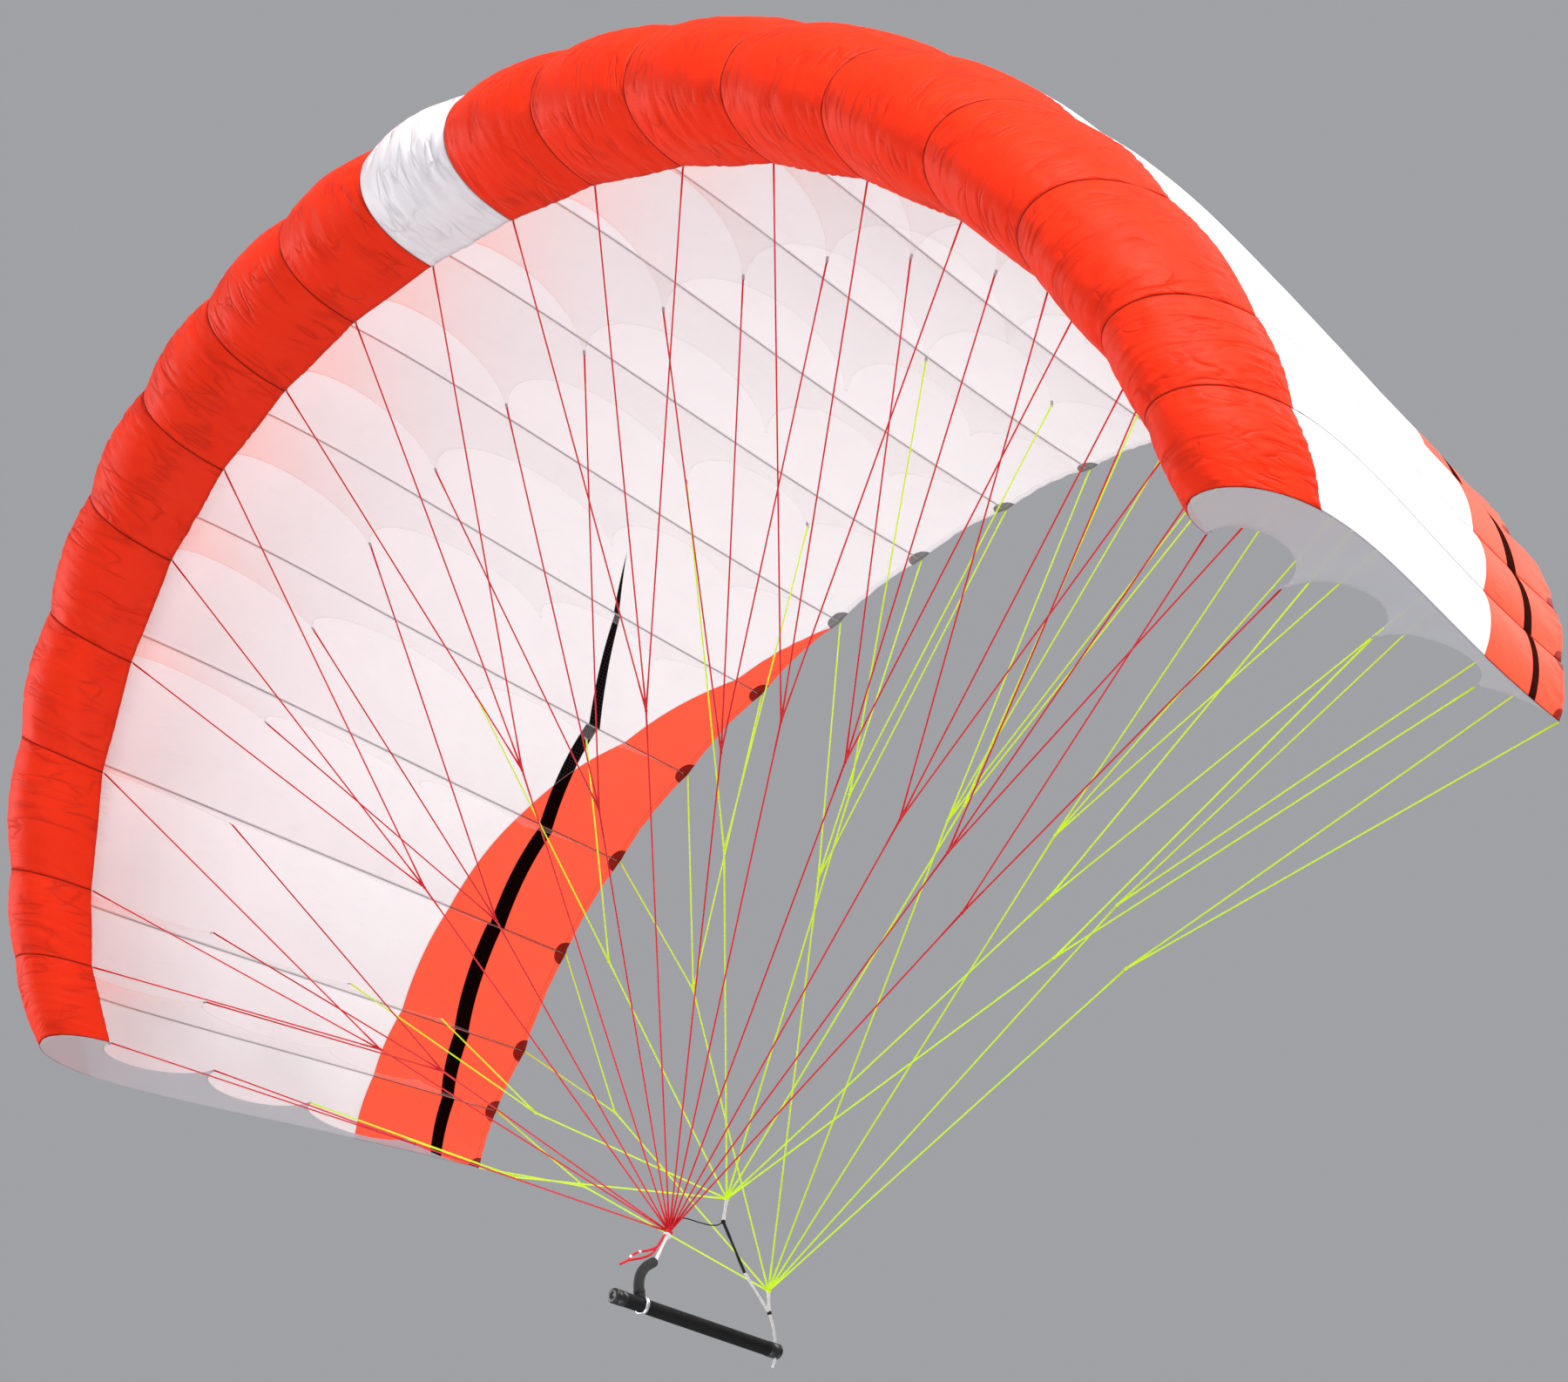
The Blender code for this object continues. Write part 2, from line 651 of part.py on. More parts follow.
# ---- assembly ----
def canopy():
    ordered = [RIBS[pair, -1] for pair in range(TIP, 0, -1)] + [RIBS[pair, 1] for pair in range(1, TIP + 1)]
    for left, right in zip(ordered, ordered[1:]):
        outer = left if left.pair > right.pair else right
        width = RIB_PAIRS[outer.pair - 1][RIB_COLUMNS.index("width")]
        if left.pair == right.pair:
            cell_panel("cell_centre", left, right, CELL_WIDTH)
        else:
            cell_panel(f"cell_{'LR'[outer.side > 0]}{outer.pair - 1}", left, right, width)
    for rib in ordered:
        rib_sheet(rib)


canopy()
front_system()
rear_system()
brake_system()
bar()
bridle(strap())
pigtail()
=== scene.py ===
import math

import bmesh
import bpy
from mathutils import Matrix, Vector, noise


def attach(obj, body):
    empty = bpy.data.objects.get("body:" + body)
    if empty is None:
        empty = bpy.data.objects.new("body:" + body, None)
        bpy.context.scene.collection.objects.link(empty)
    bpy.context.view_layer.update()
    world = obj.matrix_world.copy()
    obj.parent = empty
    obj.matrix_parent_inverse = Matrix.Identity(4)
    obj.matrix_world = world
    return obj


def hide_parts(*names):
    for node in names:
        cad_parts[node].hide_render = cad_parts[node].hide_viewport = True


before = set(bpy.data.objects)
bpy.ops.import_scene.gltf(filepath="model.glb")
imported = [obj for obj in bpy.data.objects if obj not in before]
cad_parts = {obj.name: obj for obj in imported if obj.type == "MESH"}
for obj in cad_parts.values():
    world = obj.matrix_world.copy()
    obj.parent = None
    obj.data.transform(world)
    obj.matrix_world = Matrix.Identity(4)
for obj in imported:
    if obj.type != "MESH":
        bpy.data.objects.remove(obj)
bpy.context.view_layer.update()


# small helpers
def linear(hexColour):
    found = []
    for i in (1, 3, 5):
        value = int(hexColour[i:i + 2], 16) / 255
        found.append(value / 12.92 if value <= 0.04045 else ((value + 0.055) / 1.055) ** 2.4)
    return (*found, 1)


def add(tree, kind, settings=None, inputs=None, out=0):
    # adds a node: an input is a fixed value or another node's output
    made = tree.nodes.new("ShaderNode" + kind)
    for name, value in (settings or {}).items():
        setattr(made, name, value)
    for name, value in (inputs or {}).items():
        if isinstance(value, bpy.types.NodeSocket):
            tree.links.new(value, made.inputs[name])
        else:
            made.inputs[name].default_value = value
    return made.outputs[out] if made.outputs else made


# settings that many nodes share; a Mix of colours takes them at 6 and 7 and gives its result at 2
blend, soft = {"data_type": "RGBA"}, {"interpolation_type": "SMOOTHSTEP"}
times, timesPlus, plus, minus, over, most, least, unsigned, zigzag = (
    {"operation": name} for name in ("MULTIPLY", "MULTIPLY_ADD", "ADD", "SUBTRACT", "DIVIDE", "MAXIMUM", "MINIMUM",
                                     "ABSOLUTE", "PINGPONG"))


def newMaterial(name):
    made = bpy.data.materials.new(name)
    made.use_nodes = True
    made.node_tree.nodes.clear()
    return made, made.node_tree


def smoothStep(value):
    value = min(max(value, 0), 1)
    return value * value * (3 - 2 * value)


def mix(a, b, t):
    return a + (b - a) * t


def finishPiece(made, node, slotName, material):
    made.data.materials.append(material)
    made.data.shade_smooth()
    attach(made, "root")
    if node:
        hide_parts(node)
    return made


def thicken(made, thickness, offset):
    # gives a cut sheet its cloth and tells its area
    area = sum(face.area for face in made.data.polygons)
    cloth = made.modifiers.new("cloth", "SOLIDIFY")
    cloth.thickness, cloth.offset = thickness, offset
    return area


def newObject(name, data):
    made = bpy.data.objects.new(name, data)
    bpy.context.scene.collection.objects.link(made)
    return made


def meshPiece(name, verts, faces, uvs=None, fields=None):
    mesh = bpy.data.meshes.new(name)
    mesh.from_pydata(verts, [], faces)
    if uvs:
        layer = mesh.uv_layers.new(name="cut")
        for loop in mesh.loops:
            layer.data[loop.index].uv = uvs[loop.vertex_index]
    for field, values in (fields or {}).items():
        attribute = mesh.attributes.new(field, "FLOAT", "POINT")
        attribute.data.foreach_set("value", values)
    return newObject(name, mesh)


def gridFaces(rows, columns, closed=False):
    faces = []
    for i in range(rows - 1):
        for j in range(columns if closed else columns - 1):
            k = (j + 1) % columns
            faces.append((i * columns + j, i * columns + k, (i + 1) * columns + k, (i + 1) * columns + j))
    return faces


def tubeFaces(start, rings, sides):
    # the wall of a tube and its two caps
    found = gridFaces(rings, sides, True)
    found += [tuple(reversed(range(sides))), tuple(range((rings - 1) * sides, rings * sides))]
    return [tuple(start + i for i in face) for face in found]


# the wing's shape
wing = {
    "inner": 0.198,  # width of a cell between its seams
    "tiltPerM": 32.8,  # degrees that a rib leans for each metre of span
    "tiltPerM3": 5.9,  # and for its cube
    "crown": 1.596,  # front line point of the middle ribs above the front knot
    "bulge": 0.0155,  # how far a cell's middle stands off its seams
    "bulgeAtEdge": 0.15,  # share of that at the nose's lower edge
    "bulgeRear": 1.30,
    "bulgeAtTail": 0.60,
    "cloth": 0.0004,
    "knot": Vector((0, -0.060, 0.136)),
}
# for each rib: width of the cell inboard of it, lead, trail, lift, and where the rear panel starts along the chord
inner = wing["inner"]
ribPairs = (
    (inner / 2, 0.470, 0.894, 0.075, 1.06),
    (inner, 0.469, 0.884, 0.072, 1.04),
    (inner, 0.456, 0.872, 0.062, 1.004),
    (inner, 0.436, 0.850, 0.044, 0.950),
    (inner, 0.404, 0.822, 0.024, 0.880),
    (inner, 0.360, 0.787, 0.002, 0.806),
    (inner, 0.310, 0.766, -0.008, 0.768),
    (inner, 0.248, 0.750, -0.014, 0.743),
    (0.127, 0.208, 0.714, -0.018, 0.727),
    (0.121, 0.148, 0.686, -0.022, 0.700),
)
# middle of the black stripe along the chord, and its half width, from the tip inboard
stripePlaces = {10: (0.889, 0.0110), 9: (0.888, 0.0130), 8: (0.868, 0.0150), 7: (0.860, 0.0155),
                6: (0.856, 0.0140), 5: (0.822, 0.0125), 4: (0.735, 0.0060), 3: (0.640, -0.0060)}
noStripe = (0.60, -0.02)
# the ribs' section: under the nose, over it, and back to the tail
sectionCurves = (
    ((0, 0), (-0.055, 0.006), (-0.108, 0.032), (-0.108, 0.076)),
    ((-0.108, 0.076), (-0.108, 0.140), (-0.025, 0.186), (0.090, 0.186)),
    ((0.090, 0.186), (0.300, 0.186), (0.600, 0.064), (1, 0)),
)
# line points: place along the chord, height, and rise of the scallop behind it
scallops = {"A": (0, 0, 0.078), "B": (0.246, -0.035, 0.085), "C": (0.557, -0.037, 0.062), "D": (0.780, -0.024, 0.016)}
tipPlaceC = 0.502  # the tip's third line point sits further forward
tipPair = len(ribPairs)


def bezier(a, b, c, d, t):
    s = 1 - t
    weights = (s**3, 3 * s * s * t, 3 * s * t * t, t**3)
    return sum((Vector(p) * w for p, w in zip((a, b, c, d), weights)), Vector((0, 0)))


def evenSection(steps):
    # points at equal spacing along the section, with their outward directions
    fine = [Vector((0, 0))]
    for curve in sectionCurves:
        fine += [bezier(*curve, (i + 1) / 120) for i in range(120)]
    run = [0.0]
    for a, b in zip(fine, fine[1:]):
        run.append(run[-1] + (b - a).length)
    points = []
    k = 0
    for i in range(steps + 1):
        goal = run[-1] * i / steps
        while k < len(run) - 2 and run[k + 1] < goal:
            k += 1
        t = (goal - run[k]) / (run[k + 1] - run[k])
        points.append(fine[k].lerp(fine[k + 1], min(t, 1)))
    normals = []
    for i in range(len(points)):
        along = (points[min(i + 1, steps)] - points[max(i - 1, 0)]).normalized()
        normals.append(Vector((-along.y, along.x)))
    return points, normals, run[-1]


class Rib:
    def __init__(self, pair, side):
        span = x = 0.0
        z = wing["crown"]
        for row in ribPairs[:pair]:
            tilt = self.tiltAt(span + row[0] / 2) if span else 0.0
            x += row[0] * math.cos(tilt)
            z -= row[0] * math.sin(tilt)
            span += row[0]
        lead, trail, lift, self.rear = ribPairs[pair - 1][1:]
        self.pair, self.side = pair, side
        lean = self.tiltAt(span) * side
        self.point = wing["knot"] + Vector((side * x, -lead, z))
        out = Vector((math.sin(lean), 0, math.cos(lean)))
        self.chord = math.hypot(lead + trail, lift)
        self.back = (Vector((0, lead + trail, 0)) + out * lift).normalized()
        self.up = (out - self.back * out.dot(self.back)).normalized()
        self.name = f"{'LR'[side > 0]}{pair}"

    @staticmethod
    def tiltAt(span):
        return math.radians(wing["tiltPerM"] * span + wing["tiltPerM3"] * span**3)

    def at(self, x, h):
        return self.point + self.back * (x * self.chord) + self.up * (h * self.chord)

    def linePoint(self, letter):
        along, height, _ = scallops[letter]
        if letter == "C" and self.pair == tipPair:
            along = tipPlaceC
        return along, height


ribs = {(pair, side): Rib(pair, side) for side in (-1, 1) for pair in range(1, tipPair + 1)}
orderedRibs = [ribs[pair, -1] for pair in range(tipPair, 0, -1)] + [ribs[pair, 1] for pair in range(1, tipPair + 1)]


# skin
skin = {
    "columns": 34,
    "rows": 210,
    "bandEnd": 0.092,  # the red front panel ends here along the chord, on top
    "pucker": 0.0020,
    "puckerReach": 0.040,  # gathers fade this far from a seam
    "crease": 0.0027,
    "creaseWide": 0.024,
    "creaseLong": 0.140,
    "creaseLean": 0.30,
    "swell": 0.0020,
    "flutter": 0.003,
    "hemWave": 0.0026,  # the tail hem ripples
    "heavier": 1.5,  # the white middle cell creases more
    "misfit": 0.0016,  # each panel was cut and sewn a little off the next
    "fullness": 1.07,  # extra width of the cut for its crown
    "cutApart": 0.7,  # each panel's place in the cloth it was cut from, so that no two crease alike
}
sectionPoints, sectionNormals, sectionRun = evenSection(skin["rows"])


def bulgeShare(t):
    front = wing["bulgeAtEdge"] + (1 - wing["bulgeAtEdge"]) * smoothStep(t / 0.12)
    rear = 1 + (wing["bulgeRear"] - 1) * smoothStep((t - 0.45) / 0.25)
    return front * rear * (1 - (1 - wing["bulgeAtTail"]) * smoothStep((t - 0.85) / 0.15))


def runAt(along):
    # share of the section's run at a place along the chord, on the upper side
    for i in range(len(sectionPoints) - 1):
        a, b = sectionPoints[i], sectionPoints[i + 1]
        if a.y > 0.09 or a.x > 0.1:
            if a.x <= along <= b.x:
                return (i + (along - a.x) / (b.x - a.x)) / skin["rows"]
    return 1 + (along - 1) * 0.7  # past the tail


bandRun = runAt(skin["bandEnd"])


def wrinkle(cell, u, v, across, nose, tail, hem):
    # how far the cloth stands off its smooth shape, in metres
    edge = min(u, 1 - u) * across
    side = 1 if u > 0.5 else -1
    near = math.exp(-edge / skin["puckerReach"])
    # gathers pulled square to the seam
    pucker = noise.noise(Vector((cell * 7.1 + side * 3.3, v / 0.018, edge / 0.080))) * near
    # troughs that fan back along the nose from its lower edge
    p = (u * across + (2 * u - 1) * v * skin["creaseLean"]) / skin["creaseWide"]
    trough = max(0.0, 1 - abs(noise.noise(Vector((p, v / skin["creaseLong"], cell * 3.7)))) * 2.6)
    broad = noise.noise(Vector((u * across / 0.075, v / 0.055, cell * 5.3 + 40)))
    flutter = noise.noise(Vector((u * across / 0.09, v / 0.30, cell * 2.9 + 90)))
    hold = min(edge / 0.010, 1)
    found = pucker * skin["pucker"] * (0.25 + 1.2 * nose)
    found -= trough * trough * skin["crease"] * (nose + 0.03) * (0.75 + broad)
    found += broad * skin["swell"] * (0.20 + 0.9 * nose) + flutter * skin["flutter"] * tail
    found += noise.noise(Vector((u * across / 0.020, v / 0.060, cell * 4.3 + 10))) * skin["hemWave"] * hem
    return found * hold


def skinCell(left, right, index):
    outer = left if left.pair > right.pair else right
    middle = left.pair == right.pair
    width = wing["inner"] if middle else ribPairs[outer.pair - 1][0]
    node = "cell_centre" if middle else f"cell_{'LR'[outer.side > 0]}{outer.pair - 1}"
    columns, rows = skin["columns"], skin["rows"]
    verts, uvs = [], []
    fields = {name: [] for name in ("seam", "band", "rear", "stripe", "stripeHalf", "tailEdge", "nose")}
    rearEnds = [runAt(rib.rear) for rib in (left, right)]
    stripes = [stripePlaces.get(rib.pair, noStripe) for rib in (left, right)]
    offset = ((index * 37) % 5 - 2) * skin["misfit"]
    heavy = skin["heavier"] if middle else 1.0
    for i, (flat, normal) in enumerate(zip(sectionPoints, sectionNormals)):
        t = i / rows
        share = bulgeShare(t)
        nose = 1 - smoothStep((t - bandRun + 0.01) / 0.06)
        tail = smoothStep((t - 0.80) / 0.20)
        hem = smoothStep((t - 0.93) / 0.07)
        turned = [rib.back * normal.x + rib.up * normal.y for rib in (left, right)]
        ends = [rib.at(flat.x, flat.y) for rib in (left, right)]
        across = (ends[1] - ends[0]).length
        for j in range(columns + 1):
            u = j / columns
            chord = mix(left.chord, right.chord, u)
            v = t * sectionRun * chord
            away = turned[0].lerp(turned[1], u).normalized()
            off = wing["bulge"] * width / wing["inner"] * share * 4 * u * (1 - u)
            off += wrinkle(index, u, v, across, nose * heavy, tail, hem)
            verts.append(ends[0].lerp(ends[1], u) + away * off)
            uvs.append((u * across + index * skin["cutApart"], v))
            full = sectionRun * chord
            fields["seam"].append(min(u, 1 - u) * across)
            fields["band"].append(-1.0 if middle else (bandRun - t) * full + offset)
            fields["rear"].append((t - mix(*rearEnds, u)) * full)
            place, half = (mix(a, b, u) for a, b in zip(*stripes))
            fields["stripe"].append((t - runAt(place)) * full + offset)
            fields["stripeHalf"].append(half)
            fields["tailEdge"].append((1 - t) * full)
            fields["nose"].append(nose)
    made = meshPiece(f"skin_{node}", verts, gridFaces(rows + 1, columns + 1), uvs, fields)
    made.data.flip_normals()
    area = thicken(made, wing["cloth"], -1)
    finishPiece(made, node, "centre_nylon" if middle else "skin_nylon", skinCloth)
    wide = max((right.at(p.x, p.y) - left.at(p.x, p.y)).length for p in sectionPoints) * skin["fullness"]


def threadGrid(tree, uv):
    # ripstop's thicker threads, really about 5 mm apart and drawn a little coarser
    pitch = 0.006
    split = add(tree, "SeparateXYZ", None, {"Vector": uv}).node
    threads = [add(tree, "Math", zigzag, {0: split.outputs[axis], 1: pitch / 2}) for axis in ("X", "Y")]
    grid = add(tree, "Math", least, {0: threads[0], 1: threads[1]})
    return add(tree, "MapRange", soft, {"Value": grid, "From Min": 0.0005, "From Max": 0.0001})


# Ripstop nylon, woven and calendered: a faint square grid in a smooth cloth with a soft, broad shine.
def makeSkinCloth():
    colours = {"red": "#FF350D", "redDeep": "#F82A08", "redLit": "#FF7A5C", "white": "#FCF7F9", "whiteShade": "#F4EFF2",
               "black": "#040405", "seamOnRed": "#8A1206", "seamOnWhite": "#BDB9BF",
               "creaseShadeOnRed": "#A81203", "creaseShadeOnWhite": "#C6C2C8",
               "patchOnRed": "#9A170A", "patchOnWhite": "#8E8D90"}
    tones = {name: linear(value) for name, value in colours.items()}
    material, tree = newMaterial("ripstop nylon, woven")
    uv = add(tree, "UVMap", {"uv_map": "cut"})
    seam, bandPlace, rear, stripe, stripeHalf, tailEdge, nose = (
        add(tree, "Attribute", {"attribute_name": name}, None, "Fac")
        for name in ("seam", "band", "rear", "stripe", "stripeHalf", "tailEdge", "nose"))
    # colour panels
    cutEdge = {"From Min": -0.0006, "From Max": 0.0006}
    inBand = add(tree, "MapRange", soft, {"Value": bandPlace, **cutEdge})
    inRear = add(tree, "MapRange", soft, {"Value": rear, **cutEdge})
    red = add(tree, "Math", most, {0: inBand, 1: inRear})
    mottle = add(tree, "TexNoise", None, {"Vector": uv, "Scale": 14.0, "Detail": 3.0})
    redTone = add(tree, "Mix", blend, {"Factor": mottle, 6: tones["red"], 7: tones["redDeep"]}, 2)
    whiteTone = add(tree, "Mix", blend, {"Factor": mottle, 6: tones["white"], 7: tones["whiteShade"]}, 2)
    tone = add(tree, "Mix", blend, {"Factor": red, 6: whiteTone, 7: redTone}, 2)
    # creases that fan back along the nose, thin at the bottom with soft sides, in two leans and in patches; their
    # troughs are darkened in colour as painted shade, and they also shape the relief below
    patches = add(tree, "TexNoise", None, {"Vector": uv, "Scale": 15.0, "Detail": 1.0})
    patches = add(tree, "MapRange", soft, {"Value": patches, "From Min": 0.40, "From Max": 0.66, "To Min": 0.10})
    families = []
    for scale, lean, reach, share in (((34.0, 7.0, 1.0), 0.10, 0.10, 1.0), ((22.0, 10.0, 1.0), -0.30, 0.06, 0.9)):
        place = add(tree, "Mapping", None, {"Vector": uv, "Scale": scale, "Rotation": (0.0, 0.0, lean)})
        folds = add(tree, "TexNoise", None,
                    {"Vector": place, "Scale": 1.0, "Detail": 1.5, "Roughness": 0.40, "Distortion": 0.15})
        folds = add(tree, "Math", unsigned, {0: add(tree, "Math", minus, {0: folds, 1: 0.5})})
        families.append(add(tree, "MapRange", None,
                            {"Value": folds, "From Min": reach, "From Max": 0.0, "To Max": share}))
    amount = add(tree, "MapRange", None, {"Value": nose, "To Min": 0.15})
    creases = add(tree, "Math", most, {0: families[0], 1: families[1]})
    creases = add(tree, "Math", {"operation": "POWER"}, {0: creases, 1: 2.0})
    creases = add(tree, "Math", times, {0: creases, 1: add(tree, "Math", times, {0: amount, 1: patches})})
    # painted shade in the crease troughs, stronger on the white cloth than on the red
    shade = add(tree, "MapRange", None, {"Value": red, "To Min": 0.55, "To Max": 0.34})
    shade = add(tree, "Math", times, {0: creases, 1: shade})
    creaseShadeTone = add(tree, "Mix", blend, {"Factor": red, 6: tones["creaseShadeOnWhite"], 7: tones["creaseShadeOnRed"]}, 2)
    tone = add(tree, "Mix", blend, {"Factor": shade, 6: tone, 7: creaseShadeTone}, 2)
    # reinforcing half discs where the rear line tabs are sewn
    away = add(tree, "CombineXYZ", None, {"X": seam, "Y": tailEdge})
    away = add(tree, "VectorMath", {"operation": "LENGTH"}, {0: away}, "Value")
    disc = add(tree, "MapRange", soft, {"Value": away, "From Min": 0.0225, "From Max": 0.0215})
    patchTone = add(tree, "Mix", blend, {"Factor": red, 6: tones["patchOnWhite"], 7: tones["patchOnRed"]}, 2)
    tone = add(tree, "Mix", blend, {"Factor": disc, 6: tone, 7: patchTone}, 2)
    # the black stripe, set in panel by panel
    inStripe = add(tree, "Math", unsigned, {0: stripe})
    inStripe = add(tree, "Math", minus, {0: stripeHalf, 1: inStripe})
    inStripe = add(tree, "MapRange", soft, {"Value": inStripe, **cutEdge})
    tone = add(tree, "Mix", blend, {"Factor": inStripe, 6: tone, 7: tones["black"]}, 2)
    # sewing: along the ribs, at the tail hem and between the colour panels
    atRib = add(tree, "MapRange", soft, {"Value": seam, "From Min": 0.0020, "From Max": 0.0008})
    atHem = add(tree, "Math", {"operation": "COMPARE"}, {0: tailEdge, 1: 0.009, 2: 0.0006})
    edges = [add(tree, "Math", unsigned, {0: place}) for place in (bandPlace, rear)]
    atPanel = add(tree, "Math", least, {0: edges[0], 1: edges[1]})
    atPanel = add(tree, "MapRange", soft, {"Value": atPanel, "From Min": 0.0016, "From Max": 0.0008})
    sewing = add(tree, "Math", times, {0: add(tree, "Math", most, {0: atHem, 1: atPanel}), 1: 0.5})
    sewing = add(tree, "Math", most, {0: atRib, 1: sewing})
    seamTone = add(tree, "Mix", blend, {"Factor": red, 6: tones["seamOnWhite"], 7: tones["seamOnRed"]}, 2)
    stitched = add(tree, "Math", times, {0: sewing, 1: 0.85})
    tone = add(tree, "Mix", blend, {"Factor": stitched, 6: tone, 7: seamTone}, 2)
    # the grid of thicker threads
    grid = threadGrid(tree, uv)
    faint = add(tree, "Math", times, {0: grid, 1: 0.08})
    tone = add(tree, "Mix", blend, {"Factor": faint, 6: tone, 7: seamTone}, 2)
    # relief: crumple, creases, threads and stitched-down seams
    crumple = add(tree, "TexNoise", None,
                  {"Vector": uv, "Scale": 38.0, "Detail": 4.0, "Roughness": 0.55, "Distortion": 0.6})
    rise = add(tree, "MapRange", None, {"Value": nose, "To Min": 0.10, "To Max": 0.50})
    crumple = add(tree, "Math", times, {0: crumple, 1: rise})
    height = add(tree, "Math", minus, {0: crumple, 1: creases})
    height = add(tree, "Math", plus, {0: height, 1: add(tree, "Math", times, {0: grid, 1: 0.02})})
    height = add(tree, "Math", plus, {0: height, 1: add(tree, "Math", times, {0: sewing, 1: -0.15})})
    bump = add(tree, "Bump", None, {"Height": height, "Strength": 0.50, "Distance": 0.0050})
    rough = add(tree, "MapRange", None, {"Value": mottle, "To Min": 0.54, "To Max": 0.66})
    # a painted glow stands in for daylight through the single cloth behind the nose; the nose and the sewn and doubled
    # places get none, and the stripe is dead matt
    doubled = add(tree, "Math", most, {0: add(tree, "Math", most, {0: inStripe, 1: disc}), 1: sewing})
    paintedThroughGlow = add(tree, "MapRange", None, {"Value": red, "To Min": 0.25, "To Max": 0.45})
    for shut in (nose, doubled):
        clear = add(tree, "MapRange", None, {"Value": shut, "To Min": 1.0, "To Max": 0.0})
        paintedThroughGlow = add(tree, "Math", times, {0: paintedThroughGlow, 1: clear})
    # the painted glow is white on the white cloth and a lit red on the red
    paintedGlowTone = add(tree, "Mix", blend, {"Factor": red, 6: tones["white"], 7: tones["redLit"]}, 2)
    shine = add(tree, "MapRange", None, {"Value": inStripe, "To Min": 0.14, "To Max": 0.0})
    add(tree, "OutputMaterial", None, {"Surface": add(tree, "BsdfPrincipled", None, {
        "Base Color": tone, "Roughness": rough, "Normal": bump, "IOR": 1.53, "Specular IOR Level": shine,
        "Emission Color": paintedGlowTone, "Emission Strength": paintedThroughGlow,
        "Sheen Weight": 0.14, "Sheen Roughness": 0.45, "Sheen Tint": tones["redLit"]})})
    return material


skinCloth = makeSkinCloth()
for index, (left, right) in enumerate(zip(orderedRibs, orderedRibs[1:])):
    skinCell(left, right, index)
print("skin sewn")


# ribs
ribCloth = {
    "rows": 8,
    "noseSteps": 14,
    "scallopSteps": 26,
    "inset": 0.0006,  # gap left under the skin
    "thickness": 0.0003,
    "end": 0.992,  # the sheet stops here along the chord
    "tipRise": 1.12,  # the tip's scallops are cut a little higher
    "tab": 0.0035,  # half of the width left at a line point
    "sewn": 0.0030,  # width of the strip sewn to the skin
    "wave": 0.004,
    "blank": (1.10, 0.186 + 0.037),  # the piece of cloth it is cut from, as shares of the chord
}


# Thin uncoated ripstop, woven: so sheer that what is behind it shows. The red light of the nose is painted on the front
# of the ribs: a tint in their colour, and on the inner ribs a painted glow.
def makeRibCloth(name, opacity, plain, noseLightTint, deepen, paintedGlow):
    material, tree = newMaterial(name)
    uv = add(tree, "UVMap", {"uv_map": "cut"})
    lower, upper, front = (
        add(tree, "Attribute", {"attribute_name": field}, None, "Fac") for field in ("lower", "upper", "front"))
    grid = threadGrid(tree, uv)
    hem = add(tree, "MapRange", soft, {"Value": lower, "From Min": 0.0040, "From Max": 0.0032})
    sewn = add(tree, "MapRange", soft, {"Value": upper, "From Min": 0.0030, "From Max": 0.0024})
    mottle = add(tree, "TexNoise", None, {"Vector": uv, "Scale": 12.0, "Detail": 3.0})
    base = add(tree, "Mix", blend, {"Factor": mottle, 6: linear(plain[0]), 7: linear(plain[1])}, 2)
    # painted light: towards the front the colour takes the red of the nose
    base = add(tree, "Mix", blend, {"Factor": front, 6: base, 7: linear(noseLightTint)}, 2)
    faint = add(tree, "Math", times, {0: grid, 1: 0.12})
    base = add(tree, "Mix", blend, {"Factor": faint, 6: base, 7: linear("#8C8C90")}, 2)
    alpha = add(tree, "MapRange", None, {"Value": hem, "To Min": opacity, "To Max": opacity + 0.05})
    denser = add(tree, "Math", {"operation": "MULTIPLY", "use_clamp": True}, {0: alpha, 1: deepen})
    alpha = add(tree, "Mix", None, {"Factor": front, "A": alpha, "B": denser})
    alpha = add(tree, "Mix", None, {"Factor": sewn, "A": alpha, "B": 0.60})
    folds = add(tree, "TexNoise", None, {"Vector": uv, "Scale": 9.0, "Detail": 4.0, "Distortion": 0.5})
    bump = add(tree, "Bump", None, {"Height": folds, "Strength": 0.30, "Distance": 0.004})
    # painted glow on the front of the inner ribs
    paintedGlowStrength = add(tree, "Math", times, {0: front, 1: paintedGlow}) if paintedGlow else 0.0
    add(tree, "OutputMaterial", None, {"Surface": add(tree, "BsdfPrincipled", None, {
        "Base Color": base, "Alpha": alpha, "Normal": bump, "Roughness": 0.6, "IOR": 1.53,
        "Emission Color": linear(noseLightTint), "Emission Strength": paintedGlowStrength})})
    return material


innerRibCloth = makeRibCloth("sheer ripstop, woven", 0.07, ("#FFFCFC", "#FBF7F7"), "#FF9078", 2.4, 0.45)
# the tip ribs' grey is painted shade on white cloth
tipRibCloth = makeRibCloth("sheer ripstop, woven, grey with painted shade", 0.62, ("#D9D9DD", "#D0D0D5"), "#DAD2D5", 1.1, 0.0)


def upperAt(rib, along):
    # height of the section over a place on the chord
    for a, b in zip(sectionPoints, sectionPoints[1:]):
        if a.x <= along <= b.x and b.x > a.x and (a.y > 0.075 or a.x > 0.05):
            return a.y + (b.y - a.y) * (along - a.x) / (b.x - a.x)
    return 0.0


